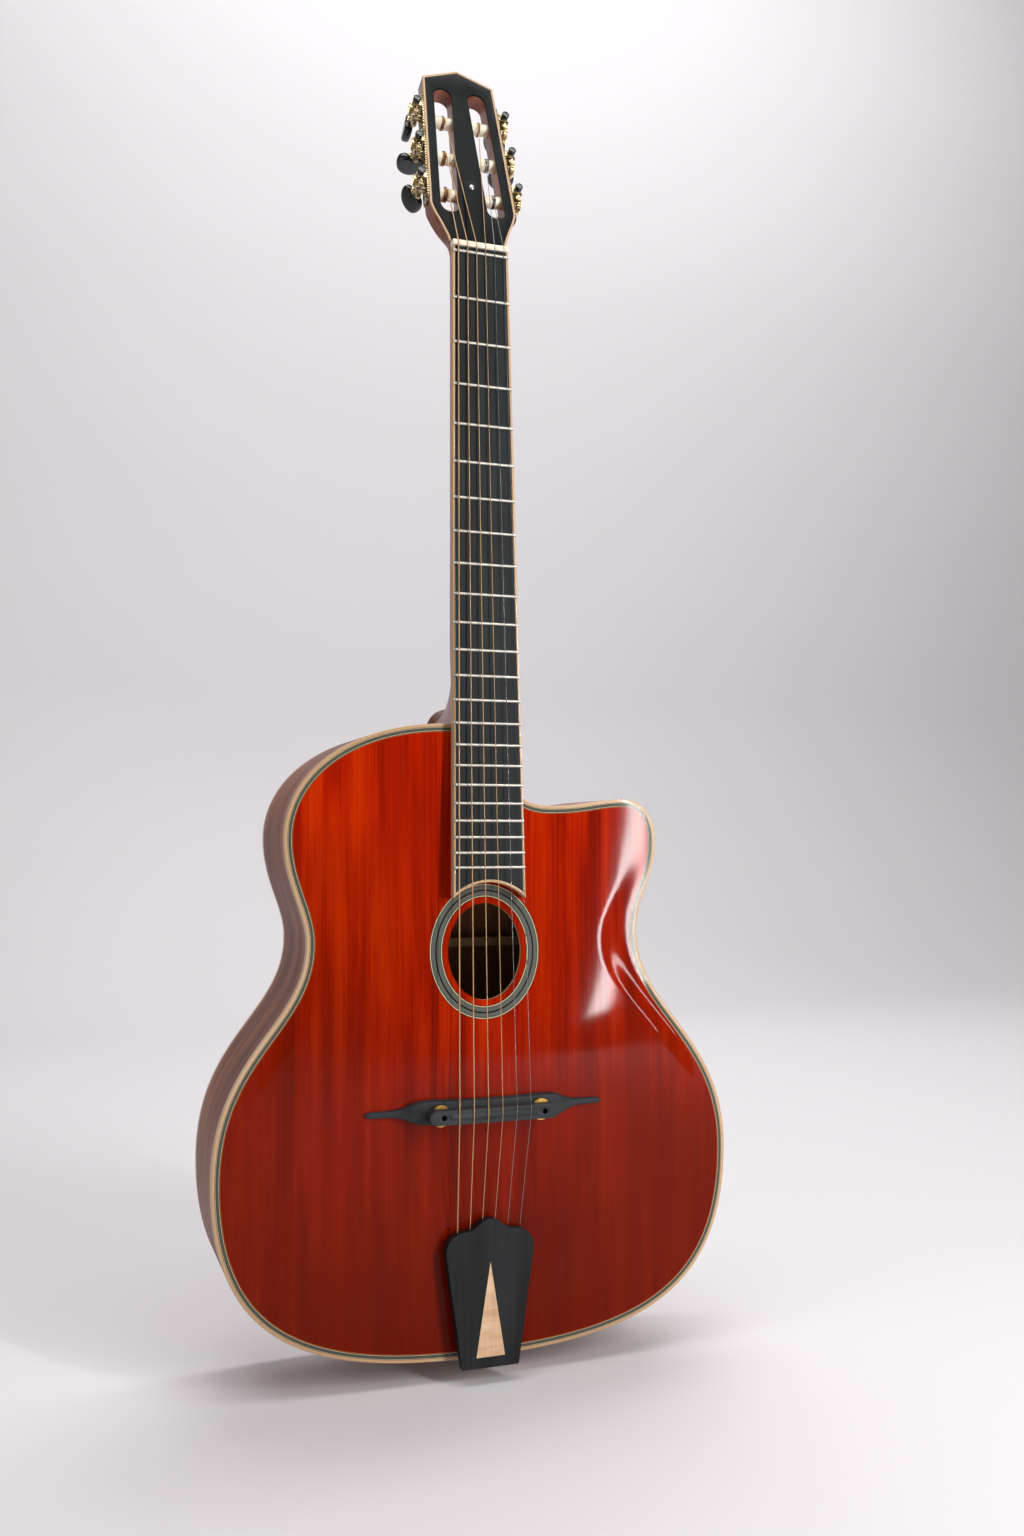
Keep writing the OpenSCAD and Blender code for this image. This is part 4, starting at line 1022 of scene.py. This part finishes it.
# The real winding wire is about 0.25 mm thick; it is drawn at 0.6 mm so that it shows.
wind = add(tree, "ShaderNodeTexWave", {"bands_direction": "X", "Scale": 2 * math.pi / 20 / 0.0006},
           {"Vector": add(tree, "ShaderNodeTexCoord").outputs["UV"]})
ridge = add(tree, "ShaderNodeBump", {"Strength": 0.5, "Distance": 0.0001}, {"Height": wind})
tree.links.new(ridge.outputs[0], shader.inputs["Normal"])
# Painted shade and painted highlight: the colour is darker in the grooves between the turns and lighter on
# their crowns.
tint = add(tree, "ShaderNodeValToRGB", {"stops": [(0.2, "#a47c54"), (0.8, "#d9b48a")]}, {"Fac": wind})
tree.links.new(tint.outputs[0], shader.inputs["Base Color"])
string_steel = worn_finish("drawn_steel_string", {"Metallic": 1.0, "Base Color": srgb("#8c8a88")},
                           {"Scale": 60.0, "Detail": 2.0}, rough=(0.14, 0.3))

wraps, given = new_tree("string_wraps", [
    ("Turns", "NodeSocketFloat", 5.0), ("Wrap Radius", "NodeSocketFloat", 5.4),
    ("Wire Radius", "NodeSocketFloat", 0.5)])
pitch = add(wraps, "ShaderNodeMath", {"operation": "MULTIPLY", 1: 2.06}, {0: given["Wire Radius"]})
reach_out = add(wraps, "ShaderNodeMath", {"operation": "MULTIPLY"}, {0: pitch, 1: given["Turns"]})
coil = add(wraps, "GeometryNodeCurveSpiral", {"Resolution": 36},
           {"Rotations": given["Turns"], "Start Radius": given["Wrap Radius"],
            "End Radius": given["Wrap Radius"], "Height": reach_out})
round_wire = add(wraps, "GeometryNodeCurvePrimitiveCircle", {"Resolution": 8},
                 {"Radius": given["Wire Radius"]})
wound = add(wraps, "GeometryNodeCurveToMesh", {"Fill Caps": True},
            {"Curve": coil, "Profile Curve": round_wire})
end_tree(wraps, wound, given["Material"])

roller_of = (1, 2, 3, 6, 5, 4)
roller_reach = (19, 17, 14.5, 14.5, 17, 19)
roller_r = 4.9
roll_out = Matrix(((0, 0, -1, 0), (-1, 0, 0, 0), (0, 1, 0, 0), (0, 0, 0, 1)))
for i, k in enumerate(roller_of):
    dress("gear_%d" % k, plain_gold)
    dress("roller_%d" % k, bone)
    rise = ((k - 1) % 3) * tuner_step
    inward = side_x - rise * math.tan(math.radians(taper)) - roller_reach[i]
    finish = string_bronze if i < 4 else string_steel
    coil = grown("string_wraps_%d" % k, wraps,
                 {"Turns": 2.5 if i < 4 else 6.0, "Wrap Radius": roller_r + string_radii[i] + 0.04,
                  "Wire Radius": string_radii[i]},
                 finish, "string_roller_%d" % k,
                 tuner_place(k) @ Matrix.Translation((inward, 0, 0)) @ roll_out, sharp=60)

# ---------------------------------------------------------------- bridge
# A carved ebony base with two thin blunt wings, fitted to the arch and held only by the
# strings. It stands loose on the lacquer, oiled and matt.
saddle_z = 188.5
base_z = saddle_z + 1.5
wing_reach = 95
matt_ebony = wood("oiled_matt_ebony", ("#1f2224", "#2b2e30", "#383b3d"),
                  (40, 500, 700), (12, 60, 90), 0.6, coat=0.0, bump=0.12, shine=0.25)

# Each mark: the distance from the middle, the half width there and the height over the rim.
wing_marks = ((0, 8.0, 13.2), (24, 8.3, 13.2), (44, 9.0, 13.2), (54, 8.5, 13.2), (60, 6.6, 12.0),
              (66, 4.1, 9.6), (72, 2.8, 8.2), (84, 2.4, 7.0), (92, 2.3, 6.3), (94.3, 1.5, 5.8),
              (wing_reach, 0.5, 5.2))
far, half, tall = np.array(wing_marks).T
stations = np.linspace(-wing_reach, wing_reach, 381)
soften = np.hanning(13) / np.hanning(13).sum()
half = np.convolve(np.pad(np.interp(abs(stations), far, half), 6, "edge"), soften, "valid")
tall = np.convolve(np.pad(np.interp(abs(stations), far, tall), 6, "edge"), soften, "valid")
quarter = np.linspace(0, math.pi / 2, 6)
rows = []
for x, w, t in zip(stations, half, tall):
    ease = min(1.8, w * 0.7)
    low = [(z, y_front - arch(x, z + base_z, 100) + 0.15) for z in np.linspace(w, -w, 7)]
    left = [(-w + ease * (1 - math.cos(a)), y_front - t + ease * (1 - math.sin(a))) for a in quarter]
    right = [(-z, y) for z, y in reversed(left)]
    rows.append([(x, y, z + base_z) for z, y in low + left + right + low[:1]])
cols = len(rows[0])
faces = grid_faces(len(rows), cols) + end_faces(len(rows), cols, cols - 1)
base = build("bridge_base_carved", rows, faces, matt_ebony, sharp=40)
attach(base, "guitar")
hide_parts("bridge_base")

# ---------------------------------------------------------------- saddle bar, posts and wheels
# The bridge's upper bar floats on two blackened steel posts. A knurled brass wheel under each end
# sets its height, and the strings lie in notches on its crest.
saddle_y = y_front - 26.4
post_x = 40
brass = worn_finish("turned_brass", {"Metallic": 1.0}, {"Scale": 220.0, "Detail": 4.0},
                    [(0.3, "#9a7432"), (0.7, "#cfa65a")], (0.2, 0.42))
dark_steel = worn_finish("blackened_steel_post", {"Metallic": 1.0, "Roughness": 0.5},
                         {"Scale": 500.0, "Detail": 3.0}, [(0.3, "#0c0c0d"), (0.7, "#1e1e20")])
dress("bridge_posts", dark_steel)

bar_loop = [(45.5 + 5.5 * math.sin(a), saddle_z + 5.5 * math.cos(a))
            for a in np.linspace(0, math.pi, 17)]
bar_loop += [(-x, 2 * saddle_z - z) for x, z in bar_loop]
post_holes = [ring_loop(x, saddle_z, 2.05) for x in (-post_x, post_x)]
bar = plank("saddle_bar_carved", [bar_loop] + post_holes, saddle_y + 0.5, saddle_y + 9, matt_ebony,
            bevel=1.5, rims="front", steps=3)
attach(bar, "saddle_bar")
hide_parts("saddle")
saddle_gap = 11.4
crest_side = [(saddle_y + y, saddle_z + z) for y, z in (
    (1, -3), (0.3, -2.4), (-0.3, -0.9), (-0.45, 0), (-0.3, 0.9), (0.3, 2.4), (1, 3))]
notches = [((i - 2.5) * saddle_gap, string_radii[i]) for i in range(6)]
crest = notched_bar("saddle_crest", crest_side, 34.5, notches, 0.5, matt_ebony)
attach(crest, "saddle_bar")

knurled, given = new_tree("knurled_disc", [
    ("Teeth", "NodeSocketInt", 48), ("Tip Radius", "NodeSocketFloat", 8.3),
    ("Root Radius", "NodeSocketFloat", 8.0), ("Thickness", "NodeSocketFloat", 3.0)])
points_in = add(knurled, "ShaderNodeMath", {"operation": "MULTIPLY", 1: 4.0}, {0: given["Teeth"]})
rim = add(knurled, "GeometryNodeCurvePrimitiveCircle", {"Radius": 1.0}, {"Resolution": points_in})
phase = add(knurled, "ShaderNodeMath", {"operation": "MULTIPLY", 1: math.pi / 2},
            {0: add(knurled, "GeometryNodeInputIndex")})
wave = add(knurled, "ShaderNodeMath", {"operation": "COSINE"}, {0: phase})
radius = add(knurled, "ShaderNodeMapRange", {1: -1.0, 2: 1.0},
             {0: wave, 3: given["Root Radius"], 4: given["Tip Radius"]})
far = add(knurled, "ShaderNodeVectorMath", {"operation": "SCALE"},
          {0: add(knurled, "GeometryNodeInputPosition"), "Scale": radius})
rim = add(knurled, "GeometryNodeSetPosition", {}, {"Geometry": rim, "Position": far})
disc = add(knurled, "GeometryNodeFillCurve", {}, {"Curve": rim})
raised = add(knurled, "GeometryNodeExtrudeMesh", {"Individual": False},
             {"Mesh": disc, "Offset Scale": given["Thickness"]})
whole = add(knurled, "GeometryNodeJoinGeometry")
for part in (raised, add(knurled, "GeometryNodeFlipFaces", {}, {"Mesh": disc})):
    knurled.links.new(part.outputs[0], whole.inputs[0])
merged = add(knurled, "GeometryNodeMergeByDistance", {"Distance": 0.001}, {"Geometry": whole})
end_tree(knurled, merged, given["Material"])
for side, label in ((-1, "bass"), (1, "treble")):
    at_wheel = (Matrix.Translation((side * post_x, saddle_y + 12, saddle_z))
                @ Matrix.Rotation(math.pi / 2, 4, "X"))
    wheel = grown("thumbwheel_knurled_" + label, knurled,
                  {"Teeth": 48, "Tip Radius": 8.25, "Root Radius": 7.95, "Thickness": 2.95},
                  brass, "wheel_" + label, at_wheel)
    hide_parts("thumbwheel_" + label)

# ---------------------------------------------------------------- tailpiece
# A black lacquered wooden plate with eased edges and a long maple triangle let into it. The
# strings' loops hook on behind its upper edge.
tail_y0 = y_front - 14
black_wood = wood("black_stained_tail_wood", ("#0f1011", "#17191a", "#222426"),
                  (500, 500, 14), (70, 70, 6), 0.5, coat=0.0, bump=0.1, shine=0.2)
right = np.concatenate([curve_points(k, 14) for k in (
    [(0, 108), (9, 108), (11, 99.5), (19, 99.5)], [(19, 99.5), (27, 99.5), (35, 95), (35, 84)])])
right = [tuple(p) for p in right] + [(35, 84), (22.5, -3)]
tail_loop = right + [(-x, z) for x, z in reversed(right[1:])]
inlay_loop = [(-11.4, 5), (11.4, 5), (0, 76)]
plate = plank("tailpiece_plate", [tail_loop, inlay_loop], tail_y0, y_front - 6.5, black_wood)
eased_edge = plate.modifiers.new("ease", "BEVEL")
eased_edge.width = 0.0011
eased_edge.segments = 3
eased_edge.limit_method = "ANGLE"
eased_edge.angle_limit = math.radians(50)
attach(plate, "guitar")
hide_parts("tailpiece")
inlay_maple = wood("figured_maple_inlay", ("#b98d66", "#d2a980", "#dfc09b"),
                   (500, 500, 10), (25, 25, 120), 0.35, coat=0.6)
inlay = plank("tailpiece_triangle", [inlay_loop], tail_y0 + 0.12, tail_y0 + 4, inlay_maple)
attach(inlay, "guitar")
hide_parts("tailpiece_inlay")

# A gold-plated strap, bent twice, ties the tailpiece to the end block.
bend = [(-55, 30), (-55, 1.2)] + [(-55 + 2.8 * (1 - math.cos(a)), 1.2 - 2.8 * math.sin(a))
                                  for a in np.linspace(0.3, math.pi / 2, 6)] + [(14, -1.6), (14, 0)]
bend += [(-52.2 - 1.2 * math.sin(a), 1.2 - 1.2 * math.cos(a)) for a in np.linspace(0, math.pi / 2, 5)]
bend += [(-53.4, 30)]
strap = plank("tailpiece_strap", [bend], -12, 12, plain_gold, side_turn, bevel=0.3)
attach(strap, "guitar")
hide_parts("tailpiece_bracket")
pin_side = [(0, 19), (3.9, 19), (3.98, -1.7), (5.3, -1.7), (5.5, -2.2), (5.3, -4), (4.2, -6), (3.6, -8),
            (3.9, -9.2), (5.6, -10.4), (6.8, -11.8), (7.2, -13), (6.9, -14.2), (5.6, -15.1), (3, -15.5),
            (0, -15.6)]
pin = turned("end_pin_turned", pin_side, black_resin, Matrix(), "guitar", count=36)
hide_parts("end_pin")

# ---------------------------------------------------------------- strings
# Four bronze-wound strings and two plain steel ones, from the tailpiece over the saddle, the zero
# fret and the nut to the rollers.


def tube(name, path, r, material):
    """A round string along a path of points, its UV running along its length in metres."""
    count = 10
    path = np.array(path, float)
    way = np.gradient(path, axis=0)
    way /= np.linalg.norm(way, axis=1)[:, None]
    side = np.cross(way, np.array([1.0, 0, 0]))
    side /= np.linalg.norm(side, axis=1)[:, None]
    over = np.cross(side, way)
    around = np.linspace(0, 2 * math.pi, count + 1)
    rows = path[:, None] + r * (np.cos(around)[None, :, None] * side[:, None]
                                + np.sin(around)[None, :, None] * over[:, None])
    gone = np.concatenate([[0], np.cumsum(np.linalg.norm(np.diff(path, axis=0), axis=1))]) * 0.001
    uv = [[(u, v) for v in np.linspace(0, 0.003, count + 1)] for u in gone]
    faces = grid_faces(len(rows), count + 1) + end_faces(len(rows), count + 1, count)
    return build(name, rows, faces, material, uv=uv, sharp=70)


def bent_path(stops):
    """Straight runs between stops, with each inner stop rounded over a few millimetres."""
    soft = 2.5
    stops = [np.array(p, float) for p in stops]
    path = [stops[0]]
    for before, stop, after in zip(stops, stops[1:], stops[2:]):
        back, ahead = before - stop, after - stop
        a = stop + back / np.linalg.norm(back) * soft
        b = stop + ahead / np.linalg.norm(ahead) * soft
        path += [a * (1 - t) ** 2 + 2 * stop * t * (1 - t) + b * t ** 2 for t in np.linspace(0, 1, 6)]
    return path + [stops[-1]]


tail_heights = (99.6, 100.8, 107.4)
for i in range(6):
    r = string_radii[i]
    place = i - 2.5
    finish = string_bronze if i < 4 else string_steel
    low_z = tail_heights[int(2.5 - abs(place))]
    rest = (place * saddle_gap, saddle_y - r * 0.9, saddle_z)
    lower = tube("string_tail_%d" % (i + 1),
                 [(place * 10, tail_y0 + 4, low_z - 2.5), (place * 10, tail_y0 + 4, low_z), rest],
                 r, finish)
    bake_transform(lower)
    k = roller_of[i]
    rise = first_roller + ((k - 1) % 3) * tuner_step
    stops = [rest,
             neck_place @ Vector((place * string_gap, -1.12 - r, neck_len)),
             neck_place @ Vector((place * string_gap, -1.3 - r, board_top + 2.6)),
             head_place @ Vector((math.copysign(roller_reach[i], place),
                                  roller_y - roller_r - r - 0.05, rise))]
    upper = tube("string_%d" % (i + 1), bent_path(stops), r, finish)
    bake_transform(upper)
    if i == 0:
        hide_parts("strings")

# ---------------------------------------------------------------- screws
# Slotted round-head screws: eight in the side plates, two in the strap, one in the rod cover.
screws, given = new_tree("slotted_screws", [
    ("Seeds", "NodeSocketGeometry", None),
    ("Head Radius", "NodeSocketFloat", 2.4), ("Head Height", "NodeSocketFloat", 1.25),
    ("Slot Width", "NodeSocketFloat", 0.55)])
ball = add(screws, "GeometryNodeMeshUVSphere", {"Segments": 24, "Rings": 16, "Radius": 1.0})
squat = add(screws, "ShaderNodeCombineXYZ", {},
            {0: given["Head Radius"], 1: given["Head Radius"], 2: given["Head Height"]})
dome = add(screws, "GeometryNodeTransform", {}, {"Geometry": ball, "Scale": squat})
under = add(screws, "GeometryNodeMeshCube", {"Size": (9.0, 9.0, 4.0)})
under = add(screws, "GeometryNodeTransform", {"Translation": (0.0, 0.0, -2.0)}, {"Geometry": under})
groove_size = add(screws, "ShaderNodeCombineXYZ", {1: 9.0, 2: 1.2}, {0: given["Slot Width"]})
groove = add(screws, "GeometryNodeMeshCube", {}, {"Size": groove_size})
lift = add(screws, "ShaderNodeCombineXYZ", {}, {2: given["Head Height"]})
groove = add(screws, "GeometryNodeTransform", {}, {"Geometry": groove, "Translation": lift})
head = add(screws, "GeometryNodeMeshBoolean", {"operation": "DIFFERENCE"}, {0: dome})
for tool in (under, groove):
    screws.links.new(tool.outputs[0], head.inputs[1])
spots = add(screws, "GeometryNodeInputNamedAttribute", {"data_type": "FLOAT_VECTOR", "Name": "axis"})
aim = add(screws, "FunctionNodeAlignRotationToVector", {"axis": "Z"}, {"Vector": spots})
copies = add(screws, "GeometryNodeInstanceOnPoints", {},
             {"Points": given["Seeds"], "Instance": head, "Rotation": aim})
end_tree(screws, copies, given["Material"])
screw_seeds = [(head_place @ Vector((0, -2, 66)), head_place.to_3x3() @ Vector((0, -1, 0)))]
for mirrored in (False, True):
    place = side_place(mirrored)
    screw_seeds += [(place @ Vector((-1.5, roller_y, z)), place.to_3x3() @ Vector((-1, 0, 0)))
                    for z in (-10, 23.75, 61.25, 95)]
screw_seeds += [(Vector((0, y, -1.6)), Vector((0, 0, -1))) for y in (-34, -14)]
bright_steel = worn_finish("nickel_plated_screw", {"Metallic": 1.0, "Base Color": srgb("#bdbbb4")},
                           {"Scale": 500.0, "Detail": 3.0}, rough=(0.16, 0.4))
heads = grown("screw_heads", screws, {"Head Radius": 2.4}, bright_steel, "guitar", seeds=screw_seeds)
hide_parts("screws")

rod_steel = bright_steel.copy()
rod_steel.name = "blued_rod_steel"
dress("truss_rod", rod_steel)
